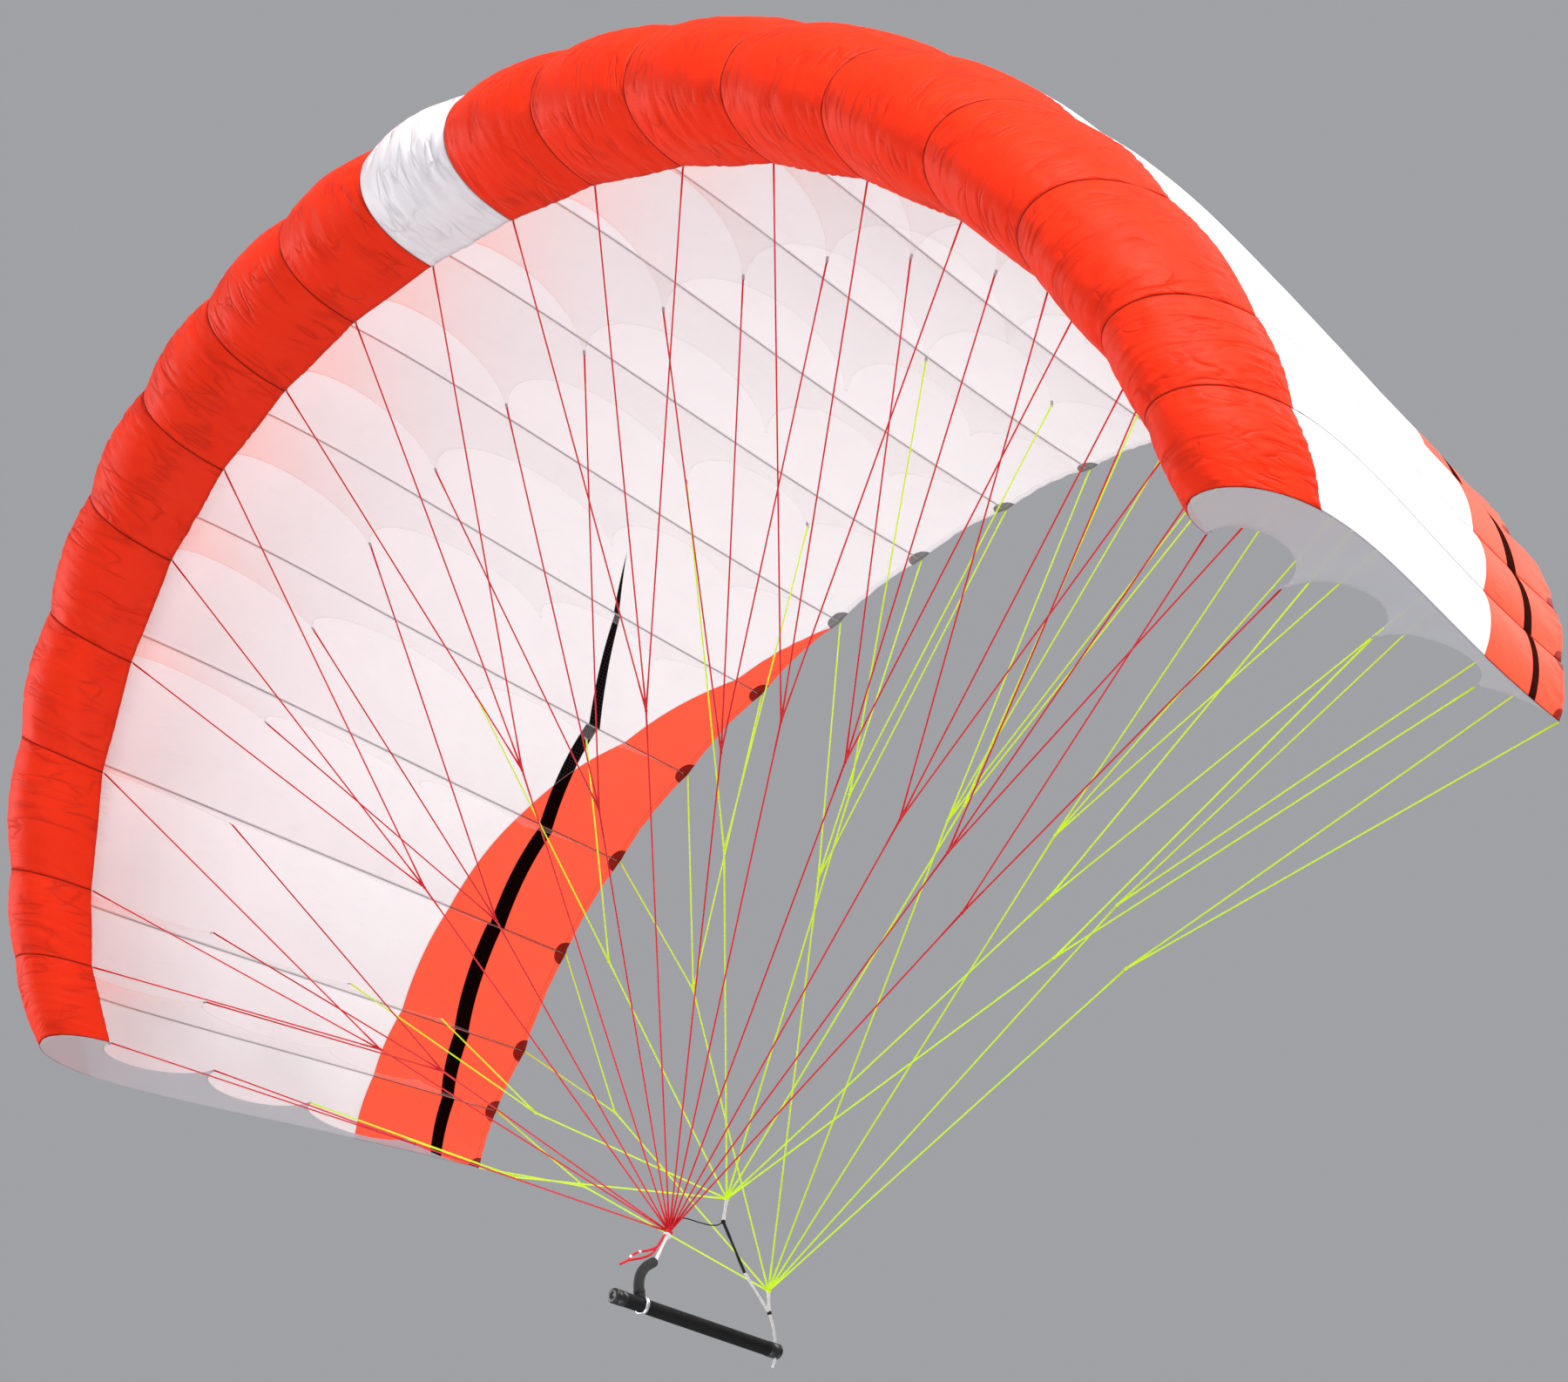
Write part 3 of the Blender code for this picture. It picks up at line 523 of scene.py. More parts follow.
def ribColumns(rib):
    # (place along the chord, lower height, upper height), from the nose back
    found = []
    inset = ribCloth["inset"] / rib.chord
    noseTop = min(p.x for p in sectionPoints)
    lowerNose = [p for p in sectionPoints if p.y < 0.076 and p.x < 0.02]
    for k in range(ribCloth["noseSteps"]):
        along = (noseTop + inset * 1.5) * (1 - k / ribCloth["noseSteps"]) ** 2
        low = 0.0
        for a, b in zip(lowerNose, lowerNose[1:]):
            if b.x <= along <= a.x:
                low = a.y + (b.y - a.y) * (along - a.x) / (b.x - a.x)
        found.append((along, low + inset, max(upperAt(rib, along) - inset, low + inset * 1.5)))
    letters = list(scallops)
    tab = ribCloth["tab"] / rib.chord
    for letter, following in zip(letters, letters[1:] + [None]):
        x0, h0 = rib.linePoint(letter)
        rise = scallops[letter][2] * (ribCloth["tipRise"] if rib.pair == tipPair else 1)
        x1, h1 = rib.linePoint(following) if following else (ribCloth["end"], upperAt(rib, ribCloth["end"]) - 0.0025)
        start = x0 + (tab if letter != "A" else 0.0)
        end = x1 - (tab if following else 0.0)
        steps = ribCloth["scallopSteps"] if letter != "D" else ribCloth["scallopSteps"] // 2
        for k in range(steps + 1):
            angle = math.pi * (1 - k / steps)
            t = 0.5 + 0.5 * math.cos(angle)
            along = mix(start, end, t)
            low = mix(h0, h1, t) + rise * math.sin(angle)
            high = upperAt(rib, along) - inset
            found.append((along, min(low, high - 0.001), high))
    return found


def ribSheet(rib):
    columns = ribColumns(rib)
    rows = ribCloth["rows"]
    verts, uvs, fields = [], [], {"lower": [], "upper": [], "front": []}
    across = rib.back.cross(rib.up)
    for along, low, high in columns:
        for k in range(rows + 1):
            # the last row marks the narrow strip that is sewn to the skin
            strip = min(ribCloth["sewn"] / rib.chord, (high - low) / 2)
            h = high if k == rows else mix(low, high - strip, k / (rows - 1))
            x = along * rib.chord
            y = h * rib.chord
            free = min((h - low), (high - h)) * rib.chord
            wave = noise.noise(Vector((x / 0.16, y / 0.10, rib.pair * 3.1 + rib.side)))
            wave *= min(free * 0.12, ribCloth["wave"])
            verts.append(rib.at(along, h) + across * wave)
            uvs.append((x, y))
            fields["lower"].append((h - low) * rib.chord)
            fields["upper"].append((high - h) * rib.chord)
            fields["front"].append(1 - smoothStep((along - 0.02) / 0.30))
    made = meshPiece(f"rib_sheet_{rib.name}", verts, gridFaces(len(columns), rows + 1), uvs, fields)
    area = thicken(made, ribCloth["thickness"], 0)
    finishPiece(made, f"rib_{rib.name}", "rib_nylon", tipRibCloth if rib.pair == tipPair else innerRibCloth)


for rib in orderedRibs:
    ribSheet(rib)
print("ribs cut")


# lines
def sweep(points, radii, sides, verts, faces, uvs):
    # adds a tube along the points to the lists, with the run in metres as its second coordinate
    start = len(verts)
    tangents = []
    for i in range(len(points)):
        tangents.append((points[min(i + 1, len(points) - 1)] - points[max(i - 1, 0)]).normalized())
    side = tangents[0].orthogonal().normalized()
    if abs(tangents[0].x) < 0.9:
        side = (Vector((1, 0, 0)) - tangents[0] * tangents[0].x).normalized()
    run = 0.0
    for i, (point, tangent) in enumerate(zip(points, tangents)):
        side = (side - tangent * side.dot(tangent)).normalized()
        other = tangent.cross(side)
        run += (point - points[max(i - 1, 0)]).length
        for k in range(sides):
            angle = math.tau * k / sides
            verts.append(point + (side * math.cos(angle) + other * math.sin(angle)) * radii[i])
            uvs.append((k / sides, run))
    faces += tubeFaces(start, len(points), sides)


def ballInto(centre, radii, verts, faces, uvs, rings=6, sides=10, turn=None):
    start = len(verts)
    turn = turn or Matrix.Identity(3)
    for i in range(1, rings):
        polar = math.pi * i / rings
        for k in range(sides):
            angle = math.tau * k / sides
            local = Vector((math.sin(polar) * math.cos(angle) * radii[0], math.sin(polar) * math.sin(angle) * radii[1],
                            math.cos(polar) * radii[2]))
            verts.append(centre + turn @ local)
            uvs.append((k / sides, i * radii[2] * 2 / rings))
    for i in range(rings - 2):
        for k in range(sides):
            j = (k + 1) % sides
            a = start + i * sides
            faces.append((a + k, a + sides + k, a + sides + j, a + j))
    faces.append(tuple(start + k for k in range(sides)))
    a = start + (rings - 2) * sides
    faces.append(tuple(a + k for k in reversed(range(sides))))


# Braided polyethylene line, woven round and coated: a fine herringbone with a slight wax shine. The red and lime
# ones carry an even painted glow that brightens them. The white and black ones are drawn coarser than they are plaited.
def makeBraid(name, colour, shade, pitch=0.0016, rough=0.6, depth=0.00012, paintedGlow=0.0):
    material, tree = newMaterial(name)
    split = add(tree, "SeparateXYZ", None, {"Vector": add(tree, "UVMap", {"uv_map": "cut"})}).node
    along = add(tree, "Math", over, {0: split.outputs["Y"], 1: pitch})
    waves = []
    for hand in (4.0, -4.0):
        total = add(tree, "Math", timesPlus, {0: split.outputs["X"], 1: hand, 2: along})
        waves.append(add(tree, "Math", zigzag, {0: total, 1: 0.5}))
    strands = add(tree, "Math", most, {0: waves[0], 1: waves[1]})
    strands = add(tree, "MapRange", soft, {"Value": strands, "From Min": 0.25, "From Max": 0.5})
    tone = add(tree, "Mix", blend, {"Factor": strands, 6: linear(shade), 7: linear(colour)}, 2)
    bump = add(tree, "Bump", None, {"Height": strands, "Strength": 0.2, "Distance": depth})
    add(tree, "OutputMaterial", None, {"Surface": add(tree, "BsdfPrincipled", None, {
        "Base Color": tone, "Normal": bump, "Roughness": rough, "IOR": 1.50,
        "Emission Color": linear(colour), "Emission Strength": paintedGlow})})
    return material


# the red and lime lines carry a painted glow
redBraid = makeBraid("coated red line, braided", "#E2081C", "#CC0517", paintedGlow=0.12)
limeBraid = makeBraid("coated lime line, braided", "#D2F800", "#BCE600", paintedGlow=0.32)
whiteBraid = makeBraid("white line, braided", "#FDFCFA", "#EFEDEA", pitch=0.003, depth=0.0001, rough=0.7)
blackBraid = makeBraid("black line, braided", "#1C1C1D", "#0C0C0D", pitch=0.002, rough=0.7)
redLine, limeLine = ("red_line", redBraid), ("lime_line", limeBraid)
whiteLine, blackLine = ("white_line", whiteBraid), ("black_line", blackBraid)

lines = {
    "radius": 0.0013,
    "splice": 0.0016,  # where the line is buried in itself to make its end loops
    "spliceLength": 0.045,
    "taper": 0.008,
    "spread": Vector((0, 0.060, 0)),
    "branch": 0.0026,
    "frontKnot": wing["knot"],
    "rearKnot": Vector((0, 0.062, 0.226)),
    "brakeKnot": Vector((0, 0.154, 0.096)),
    "sides": 8,
    "rearPairs": (2, 5, 8, 10),  # ribs that the rear lines hold
}


def lineRun(a, b, parts):
    # a straight line with a thicker spliced length at its looped ends
    length = (b - a).length
    along = (b - a) / length
    spliced = min(lines["spliceLength"], length * 0.3)
    thick, thin = lines["splice"], lines["radius"]
    stops = ((0.0, thick), (spliced, thick * 0.95), (spliced + lines["taper"], thin),
             (length - spliced - lines["taper"], thin), (length - spliced, thick * 0.95), (length, thick))
    sweep([a + along * s for s, _ in stops], [r for _, r in stops], lines["sides"], *parts)


def cascade(parts, ends, knot):
    branch = (sum(ends, Vector()) / len(ends) + lines["frontKnot"] + lines["spread"]) / 2
    for end in ends:
        lineRun(end, branch, parts)
    lineRun(branch, knot, parts)
    ballInto(branch, (lines["branch"],) * 2 + (lines["branch"] * 1.5,), *parts,
             turn=(branch - knot).to_track_quat("Z", "Y").to_matrix())


def ribEnds(letter, pairs, side):
    found = []
    for pair in pairs:
        rib = ribs[pair, side]
        if letter == "T":
            found.append(rib.at(1, 0) - rib.up * lines["splice"])
        else:
            x, h = rib.linePoint(letter)
            if letter == "A":
                x += ribCloth["tab"] / rib.chord
            found.append(rib.at(x, h))
    return found


def lineSystem(name, node, slotName, material, groups, knot, knotRadius):
    parts = ([], [], [])
    for side in (-1, 1):
        for letters, pairs in groups:
            ends = [end for letter in letters for end in ribEnds(letter, pairs, side)]
            cascade(parts, ends, knot)
    # the larks-headed loops sit on each other round the knot
    for turn in range(5):
        angle = turn * 1.26
        off = Vector((math.cos(angle), math.sin(angle), 0.35 * (turn - 2))) * knotRadius * 0.42
        ballInto(knot + off, (knotRadius * 0.62, knotRadius * 0.62, knotRadius * 0.72), *parts)
    finishPiece(meshPiece(name, *parts), node, slotName, material)


lineSystem("front_line_braid", "front_lines", *redLine,
           [(letter, group) for letter in "AB" for group in ((1, 2, 3), (4, 5, 6), (7, 8, 9))] + [("AB", (10,))],
           lines["frontKnot"], 0.0058)
lineSystem("rear_line_braid", "rear_lines", *limeLine,
           [("CD", (pair,)) for pair in lines["rearPairs"]], lines["rearKnot"], 0.0042)
lineSystem("brake_line_braid", "brake_lines", *limeLine,
           [("T", group) for group in ((1, 2, 3), (4, 5, 6), (7, 8), (9, 10))], lines["brakeKnot"], 0.0042)
print("lines strung")


# bar
bar = {
    "half": 0.176,
    "grip": 0.0115,
    "cap": 0.0122,
    "capLength": 0.024,
    "collar": 0.0148,
    "collarAt": -0.114,
    "collarWidth": 0.0066,
    "hole": 0.0027,  # for the leader, through the rear cap
    "holeAt": 0.1688,
    "chevron": 0.0062,  # from one pressed row to the next
    "chevronDepth": 0.0009,
    "chevronEnd": 0.150,
}


def lathe(name, profile, steps, ripple=None, closed=False):
    # turned about the bar's axis; ripple gives an extra radius for (angle, place along)
    verts, uvs = [], []
    for along, radius in profile:
        for k in range(steps):
            angle = math.tau * k / steps
            r = radius + (ripple(angle, along) if ripple else 0)
            verts.append((r * math.cos(angle), along, r * math.sin(angle)))
            uvs.append((angle / math.tau, along))
    faces = [face[::-1] for face in gridFaces(len(profile), steps, True)]
    if closed:
        last = (len(profile) - 1) * steps
        faces += [(last + (k + 1) % steps, last + k, k, (k + 1) % steps)[::-1] for k in range(steps)]
    else:
        faces.append(tuple(range(steps)))
        faces.append(tuple((len(profile) - 1) * steps + k for k in reversed(range(steps))))
    made = meshPiece(name, verts, faces, uvs)
    shape = bmesh.new()
    shape.from_mesh(made.data)
    bmesh.ops.recalc_face_normals(shape, faces=shape.faces)
    shape.to_mesh(made.data)
    shape.free()
    return made


# Closed-cell EVA foam, moulded: dead matt black with a fine grain that the palm has polished a little.
def makeFoam():
    material, tree = newMaterial("EVA foam, moulded")
    place = add(tree, "TexCoord", None, None, "Object")
    grain = add(tree, "TexNoise", None, {"Vector": place, "Scale": 900.0, "Detail": 3.0})
    wear = add(tree, "TexNoise", None, {"Vector": place, "Scale": 40.0, "Detail": 4.0})
    tone = add(tree, "Mix", blend, {"Factor": wear, 6: linear("#0A0A0B"), 7: linear("#131314")}, 2)
    bump = add(tree, "Bump", None, {"Height": grain, "Strength": 0.25, "Distance": 0.0002})
    rough = add(tree, "MapRange", None, {"Value": wear, "To Min": 0.55, "To Max": 0.80})
    add(tree, "OutputMaterial", None, {"Surface": add(tree, "BsdfPrincipled", None, {
        "Base Color": tone, "Roughness": rough, "Normal": bump, "IOR": 1.5, "Specular IOR Level": 0.25})})
    return material


# Polyamide, injection moulded: black with a soft gloss and faint scuffs.
def makeMoulded():
    material, tree = newMaterial("black polyamide, moulded")
    place = add(tree, "TexCoord", None, None, "Object")
    scuffs = add(tree, "TexNoise", None, {"Vector": place, "Scale": 120.0, "Detail": 3.0, "Roughness": 0.5})
    tone = add(tree, "Mix", blend, {"Factor": scuffs, 6: linear("#0E0E0F"), 7: linear("#18181A")}, 2)
    rough = add(tree, "MapRange", None,
                {"Value": scuffs, "From Min": 0.35, "From Max": 0.7, "To Min": 0.36, "To Max": 0.44})
    bump = add(tree, "Bump", None, {"Height": scuffs, "Strength": 0.06, "Distance": 0.0001})
    add(tree, "OutputMaterial", None, {"Surface": add(tree, "BsdfPrincipled", None, {
        "Base Color": tone, "Roughness": rough, "Normal": bump, "IOR": 1.53})})
    return material


# Stainless steel, turned and polished: bright, with hair-fine marks round the ring.
def makeSteel():
    material, tree = newMaterial("stainless steel, polished")
    place = add(tree, "TexCoord", None, None, "Object")
    drawn = add(tree, "Mapping", None, {"Vector": place, "Scale": (40.0, 2600.0, 40.0)})
    marks = add(tree, "TexNoise", None, {"Vector": drawn, "Scale": 1.0})
    rough = add(tree, "MapRange", None, {"Value": marks, "To Min": 0.30, "To Max": 0.42})
    bump = add(tree, "Bump", None, {"Height": marks, "Strength": 0.08, "Distance": 0.0001})
    add(tree, "OutputMaterial", None, {"Surface": add(tree, "BsdfPrincipled", None, {
        "Base Color": linear("#F2F2F3"), "Metallic": 1.0, "Roughness": rough, "Normal": bump})})
    return material


# Polyester webbing, woven into a sleeve over foam: charcoal with a fine diagonal weave.
def makeSleeve(name, light, dark, pitch):
    material, tree = newMaterial(name)
    split = add(tree, "SeparateXYZ", None, {"Vector": add(tree, "UVMap", {"uv_map": "cut"})}).node
    along = add(tree, "Math", over, {0: split.outputs["Y"], 1: pitch})
    twill = add(tree, "Math", timesPlus, {0: split.outputs["X"], 1: 26.0, 2: along})
    warp = add(tree, "Math", zigzag, {0: twill, 1: 0.5})
    weft = add(tree, "Math", zigzag, {0: along, 1: 0.5})
    weave = add(tree, "Math", plus, {0: warp, 1: weft})
    tone = add(tree, "Mix", blend, {"Factor": weave, 6: linear(dark), 7: linear(light)}, 2)
    bump = add(tree, "Bump", None, {"Height": weave, "Strength": 0.5, "Distance": 0.0005})
    add(tree, "OutputMaterial", None, {"Surface": add(tree, "BsdfPrincipled", None, {
        "Base Color": tone, "Normal": bump, "Roughness": 0.82, "IOR": 1.5, "Sheen Weight": 0.10})})
    return material


foam = makeFoam()
moulded = makeMoulded()
steel = makeSteel()
sleeve = makeSleeve("charcoal webbing sleeve, woven", "#2E2E30", "#171719", 0.0012)
band = makeSleeve("black webbing, woven", "#1B1B1C", "#0D0D0E", 0.0010)


def knurl(angle, along):
    # chevrons pressed into the foam: rows that run in a zigzag round the grip
    swing = abs((angle / math.tau * 12) % 1 - 0.5) * 2
    phase = (along / bar["chevron"] + swing * 0.9) % 1
    depth = max(0.0, 1 - abs(phase - 0.5) / 0.18)
    ends = min(1.0, (bar["chevronEnd"] - abs(along)) / 0.004)
    return -bar["chevronDepth"] * depth * max(ends, 0)


def buildBar():
    half, seam = bar["half"], bar["half"] - bar["capLength"]
    profile = [(-seam + 2 * seam * i / 320, bar["grip"] + 0.0001) for i in range(321)]
    finishPiece(lathe("grip_foam", profile, 96, knurl), "grip", "grip_foam", foam)
    r = bar["cap"]
    shape = ((0.0010, 0.0002), (0.0010, 0.0045), (0.0002, 0.0052), (0, 0.0060), (0, r - 0.0018), (0.0004, r - 0.0009),
             (0.0010, r - 0.0003), (0.0018, r), (0.0060, r), (0.0064, r - 0.0005), (0.0070, r - 0.0005), (0.0074, r),
             (half - seam - 0.0010, r), (half - seam - 0.0003, r - 0.0006), (half - seam - 0.0003, 0.0002))
    shape = [(a - half, b) for a, b in shape]
    finishPiece(lathe("front_cap", shape, 48), "cap_front", "cap_plastic", moulded)
    rear = lathe("rear_cap", [(-a, b) for a, b in shape], 48)
    hole = bmesh.new()
    bmesh.ops.create_cone(hole, cap_ends=True, segments=24, radius1=bar["hole"], radius2=bar["hole"], depth=0.05)
    cutMesh = bpy.data.meshes.new("leader hole")
    hole.to_mesh(cutMesh)
    hole.free()
    cutter = newObject("leader hole", cutMesh)
    cutter.location = (0, bar["holeAt"], 0)
    cut = rear.modifiers.new("hole", "BOOLEAN")
    cut.operation, cut.object, cut.solver = "DIFFERENCE", cutter, "EXACT"
    bpy.context.view_layer.update()
    graph = bpy.context.evaluated_depsgraph_get()
    bored = bpy.data.meshes.new_from_object(rear.evaluated_get(graph))
    rear.modifiers.clear()
    rear.data = bored
    bpy.data.objects.remove(cutter)
    finishPiece(rear, "cap_rear", "cap_plastic", moulded)
    inner, outer, wide = bar["grip"] + 0.0002, bar["collar"], bar["collarWidth"] / 2
    ring = [(bar["collarAt"] + a, b) for a, b in (
        (-wide, inner + 0.0004), (-wide, outer - 0.0012), (-wide + 0.0004, outer - 0.0004), (-wide + 0.0012, outer),
        (wide - 0.0012, outer), (wide - 0.0004, outer - 0.0004), (wide, outer - 0.0012), (wide, inner + 0.0004),
        (wide - 0.0004, inner), (-wide + 0.0004, inner))]
    finishPiece(lathe("collar_ring", ring, 72, None, True), "collar", "collar_steel", steel)


buildBar()


# strap and bridle
bridle = {
    "strap": ((-0.1185, 0.0135), (-0.1208, 0.020), (-0.1220, 0.034), (-0.1180, 0.051), (-0.1080, 0.065),
              (-0.0950, 0.075), (-0.0885, 0.0800)),
    "strapRadius": 0.0086,
    "footBand": (0.0175, 0.0245),
    "riser": 0.0023,
    "trim": 0.0020,
    "thin": 0.0010,
    "loop": 0.0019,
    "whipping": 0.0038,
    "buried": 1.25,  # a line is thicker where its end is buried in it
    "rearJoint": Vector((0, 0.055, 0.185)),
    "trimStep": Vector((0, 0.102, 0.1125)),
    "brakeJoint": Vector((0, 0.156, 0.060)),
    "thinPath": ((0.055, 0.185), (0.042, 0.176), (0.025, 0.1715), (0.003, 0.1695), (-0.027, 0.168), (-0.044, 0.160),
                 (-0.0575, 0.1410)),
    "leader": ((0.1560, 0.060), (0.1635, 0.043), (0.1680, 0.024), (0.1688, 0.013), (0.1688, -0.013), (0.1635, -0.028)),
    "pigtail": ((-0.0698, 0.1284), (-0.0795, 0.1125), (-0.0870, 0.1030), (-0.1044, 0.0930), (-0.1247, 0.0845),
                (-0.1390, 0.0740), (-0.1450, 0.0660), (-0.1617, 0.0546)),
    "lower": ((-0.0840, 0.1060), (-0.0905, 0.0960), (-0.1000, 0.0870), (-0.1160, 0.0778), (-0.1340, 0.0702),
              (-0.1455, 0.0655)),
}


def smoothPath(places, steps=6):
    points = [Vector((0, *p)) for p in places]
    ends = [points[0] * 2 - points[1], *points, points[-1] * 2 - points[-2]]
    found = [points[0]]
    for a, b, c, d in zip(ends, ends[1:], ends[2:], ends[3:]):
        for step in range(1, steps + 1):
            t = step / steps
            bend = (2 * a - 5 * b + 4 * c - d) * t * t
            found.append((2 * b + (c - a) * t + bend + (3 * b - a - 3 * c + d) * t**3) / 2)
    return found


def tubePiece(name, path, radii, node, slotName, material, sides=16):
    parts = ([], [], [])
    if not isinstance(radii, (list, tuple)):
        radii = [radii] * len(path)
    sweep(path, radii, sides, *parts)
    return finishPiece(meshPiece(name, *parts), node, slotName, material)


def tautLine(name, node, a, b, radius=bridle["riser"], line=whiteLine):
    shares = [i / 24 for i in range(25)]
    radii = [radius * (bridle["buried"] if t < 0.3 or t > 0.7 else 1) for t in shares]
    tubePiece(name, [a.lerp(b, t) for t in shares], radii, node, *line)


def whippedJoint(which):
    # four turns of black cord round the lines where they meet
    centre, radius = bridle[f"{which}Joint"], bridle["whipping"]
    parts = ([], [], [])
    turn = (lines[f"{which}Knot"] - centre).to_track_quat("Z", "Y").to_matrix()
    ballInto(centre, (radius * 0.72, radius * 0.72, radius), *parts, rings=8, sides=14, turn=turn)
    loops, perTurn, steps = [], 16, 4 * 16
    for k in range(steps + 1):
        angle = math.tau * k / perTurn
        up = mix(-radius * 0.62, radius * 0.62, k / steps)
        swell = radius * 0.80 * math.sqrt(max(1 - (up / radius) ** 2, 0.2))
        loops.append(centre + turn @ Vector((swell * math.cos(angle), swell * math.sin(angle), up)))
    sweep(loops, [radius * 0.22] * len(loops), 8, *parts)
    finishPiece(meshPiece(f"{which}_joint_whipping", *parts), f"{which}_joint", *blackLine)


def buildStrap():
    path = smoothPath(bridle["strap"], 8)
    radii = []
    for i in range(len(path)):
        t = i / (len(path) - 1)
        full = bridle["strapRadius"] * (1 - 0.08 * t)
        tip = min(1.0, (1 - t) / 0.10)
        radii.append(full * max(math.sqrt(1 - (1 - tip) ** 2), 0.28))
    verts, faces, uvs = [], [], []
    sides = 28
    sweep(path, radii, sides, verts, faces, uvs)
    # its foot is pressed onto the grip and the collar
    for k, vert in enumerate(verts):
        ring = k // sides
        over = abs(vert.y - bar["collarAt"]) < bar["collarWidth"] / 2 + 0.0004
        rest = (bar["collar"] if over else bar["grip"]) + 0.0004
        if abs(vert.x) < rest:
            seat = math.sqrt(rest * rest - vert.x * vert.x) + ring * 0.0004
            if ring == 0 or vert.z < seat:
                vert.z = seat
    made = finishPiece(meshPiece("strap_sleeve", verts, faces, uvs), "strap", "strap_sleeve", sleeve)
    # the sewn band round its foot
    foot = [p for p in path if bridle["footBand"][0] < p.z < bridle["footBand"][1]]
    tubePiece("strap_foot_band", foot, [bridle["strapRadius"] + 0.0006] * len(foot), None, "strap_sleeve", band, 28)


buildStrap()
strapTop = Vector((0, *bridle["strap"][-1]))
knot = lines["frontKnot"]
tautLine("front_riser_braid", "front_riser", strapTop, knot)
direction = (knot - strapTop).normalized()
ringPath = [knot - direction * (0.0061 + 0.0045 * (1 - i / 6)) for i in range(7)]
ringShape = [0.0052, 0.0064, 0.0069, 0.0070, 0.0069, 0.0064, 0.0052]
tubePiece("front_ring_band", ringPath, ringShape, "front_ring", *whiteLine, 24)
tautLine("rear_riser_braid", "rear_riser", lines["rearKnot"], bridle["rearJoint"])
tautLine("trim_black_braid", "trim_line_black", bridle["rearJoint"], bridle["trimStep"], bridle["trim"], blackLine)
tautLine("trim_white_braid", "trim_line_white", bridle["trimStep"], bridle["brakeJoint"], bridle["trim"])
tautLine("brake_riser_braid", "brake_riser", lines["brakeKnot"], bridle["brakeJoint"])
tubePiece("thin_line_braid", smoothPath(bridle["thinPath"]), bridle["thin"], "thin_line", *blackLine, 10)
tubePiece("leader_braid", smoothPath(bridle["leader"]), bridle["riser"], "leader", *whiteLine)
whippedJoint("rear")
whippedJoint("brake")


def buildPigtail():
    path, thick = smoothPath(bridle["pigtail"]), bridle["loop"]
    loose = tubePiece("pigtail_braid", path, thick, "pigtail", *redLine, 12)
    lower = tubePiece("pigtail_lower_strand", smoothPath(bridle["lower"]), thick, None, *redLine, 12)
    for name, k in (("pigtail_whipping_a", 23), ("pigtail_whipping_b", 31)):
        along = (path[k + 1] - path[k]).normalized()
        stops = [path[k] + along * s for s in (-0.0030, -0.0024, 0.0024, 0.0030)]
        tubePiece(name, stops, [thick, 0.0023, 0.0023, thick], None, *whiteLine, 14)


buildPigtail()
print("bar and bridle rigged")


# line tabs
tab = {"wide": 0.0026, "thick": 0.0009, "above": 0.0085, "below": 0.0030, "sides": 10}
tape = makeSleeve("grey tape, woven", "#CFCCCF", "#A5A2A6", 0.0010)


def tabInto(rib, foot, verts, faces, uvs):
    # a short loop of tape sewn over the rib's edge, where a line is looped on
    across = rib.back.cross(rib.up)
    start, sides = len(verts), tab["sides"]
    stops = [(-tab["below"], 0.35), (-tab["below"] * 0.8, 0.80), (-tab["below"] * 0.4, 1.0), (0.0, 1.0),
             (tab["above"] * 0.94, 1.0), (tab["above"], 0.85)]
    for along, share in stops:
        for k in range(sides):
            angle = math.tau * k / sides
            corner = [math.copysign(abs(v) ** 0.5, v) for v in (math.cos(angle), math.sin(angle))]
            verts.append(foot + rib.up * along + rib.back * (tab["wide"] * share * corner[0])
                         + across * (tab["thick"] * min(share * 1.4, 1) * corner[1]))
            uvs.append((k / sides, along))
    faces += tubeFaces(start, len(stops), sides)


tabParts = ([], [], [])
for (pair, side), rib in ribs.items():
    for letter in "ABCD" if pair in lines["rearPairs"] else "AB":
        tabInto(rib, ribEnds(letter, (pair,), side)[0], *tabParts)
finishPiece(meshPiece("line_tabs", *tabParts), None, None, tape)
print("tabs sewn on")


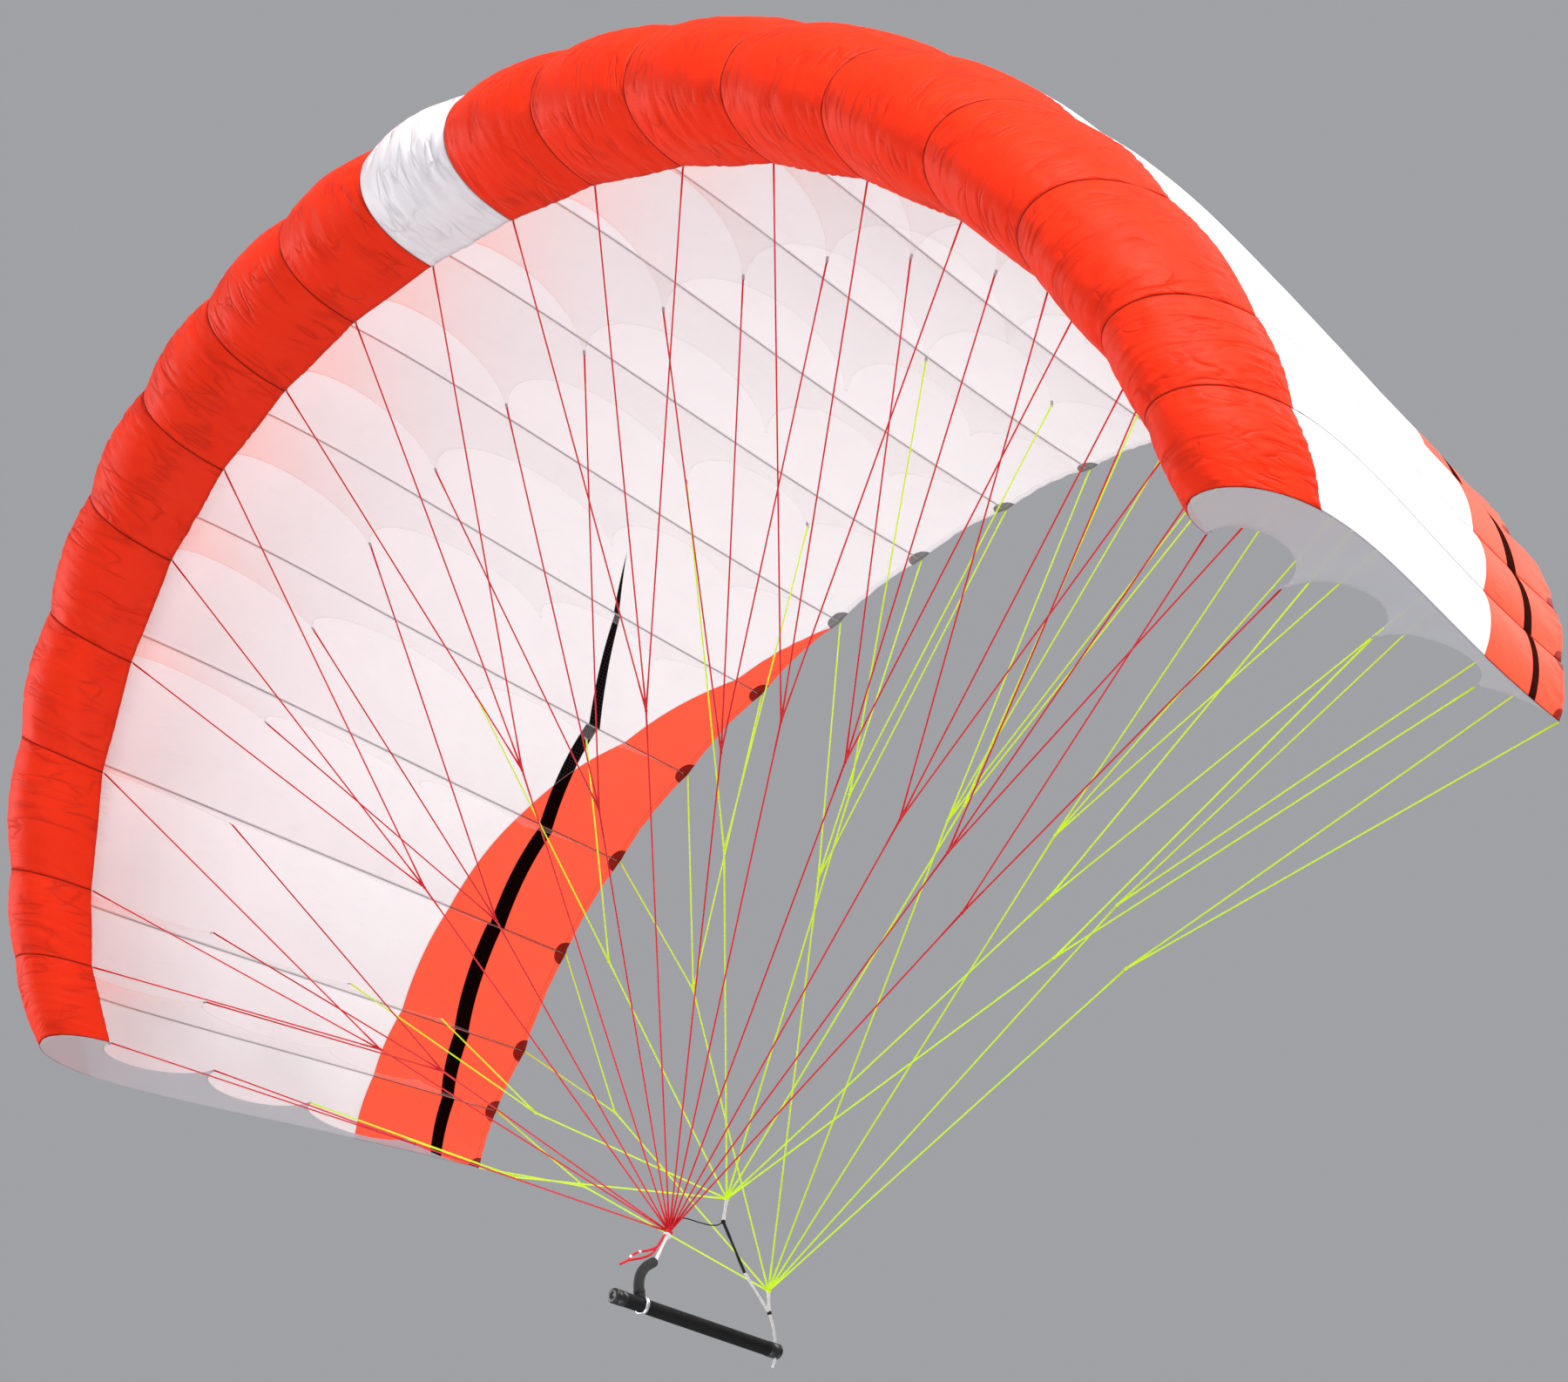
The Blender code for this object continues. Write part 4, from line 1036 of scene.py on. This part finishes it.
# stage
stage = {
    "floor": -14.0,
    "floorHalf": 150,
    "floorTone": "#F2F2F4",
    "backdrop": "#C9CBD0",
    "ambient": 0.60,
    "lens": 128.0,
    "fromKnot": Vector((5.942, -5.475, -3.218)),
    "forward": Vector((-0.6405, 0.6163, 0.4581)),
    "up": Vector((0.3273, -0.3206, 0.8889)),
    "lights": (  # place, what it points at, size and watts
        ("key", (8.4, -2.4, 6.6), (0, 0, 1.2), 3.0, 1350),
        ("fill from below", (1.5, 0.0, -6.5), (0, 0.3, 1.4), 6.0, 190),
        ("fill from the front", (3.0, -8.0, 0.5), (0, 0, 1.2), 4.0, 140),
        ("fill from the left", (-6.5, -3.5, 2.0), (0.5, 0.3, 1.4), 4.0, 300),
        ("rim", (2.0, 6.0, 6.0), (0, 0, 1.3), 4.0, 200),
    ),
}
far = stage["floorHalf"]
floor = meshPiece("floor", [(-far, -far, 0), (far, -far, 0), (-far, far, 0), (far, far, 0)], [(0, 1, 3, 2)])
floor.location.z = stage["floor"]
floorMaterial, floorTree = newMaterial("pale floor paint")
add(floorTree, "OutputMaterial", None, {"Surface": add(floorTree, "BsdfPrincipled", None, {
    "Base Color": linear(stage["floorTone"]), "Roughness": 0.8})})
floor.data.materials.append(floorMaterial)

world = bpy.data.worlds.new("studio")
world.use_nodes = True
for name, value in (("Color", linear(stage["backdrop"])), ("Strength", stage["ambient"])):
    world.node_tree.nodes["Background"].inputs[name].default_value = value
bpy.context.scene.world = world

for name, place, aim, size, watts in stage["lights"]:
    data = bpy.data.lights.new(name, "AREA")
    data.shape, data.size, data.energy = "DISK", size, watts
    light = newObject(name, data)
    light.location = place
    light.rotation_mode = "QUATERNION"
    light.rotation_quaternion = (Vector(aim) - Vector(place)).to_track_quat("-Z", "Y")

camera = newObject("camera", bpy.data.cameras.new("camera"))
camera.data.lens = stage["lens"]
camera.data.sensor_width = 36
camera.data.clip_start, camera.data.clip_end = 0.1, 200
forward = stage["forward"].normalized()
up = (stage["up"] - forward * stage["up"].dot(forward)).normalized()
right = forward.cross(up)
turned = Matrix((right, up, -forward)).transposed().to_4x4()
camera.matrix_world = Matrix.Translation(wing["knot"] + stage["fromKnot"]) @ turned
bpy.context.scene.camera = camera
bpy.context.scene.view_settings.view_transform = "Standard"
print("stage set")
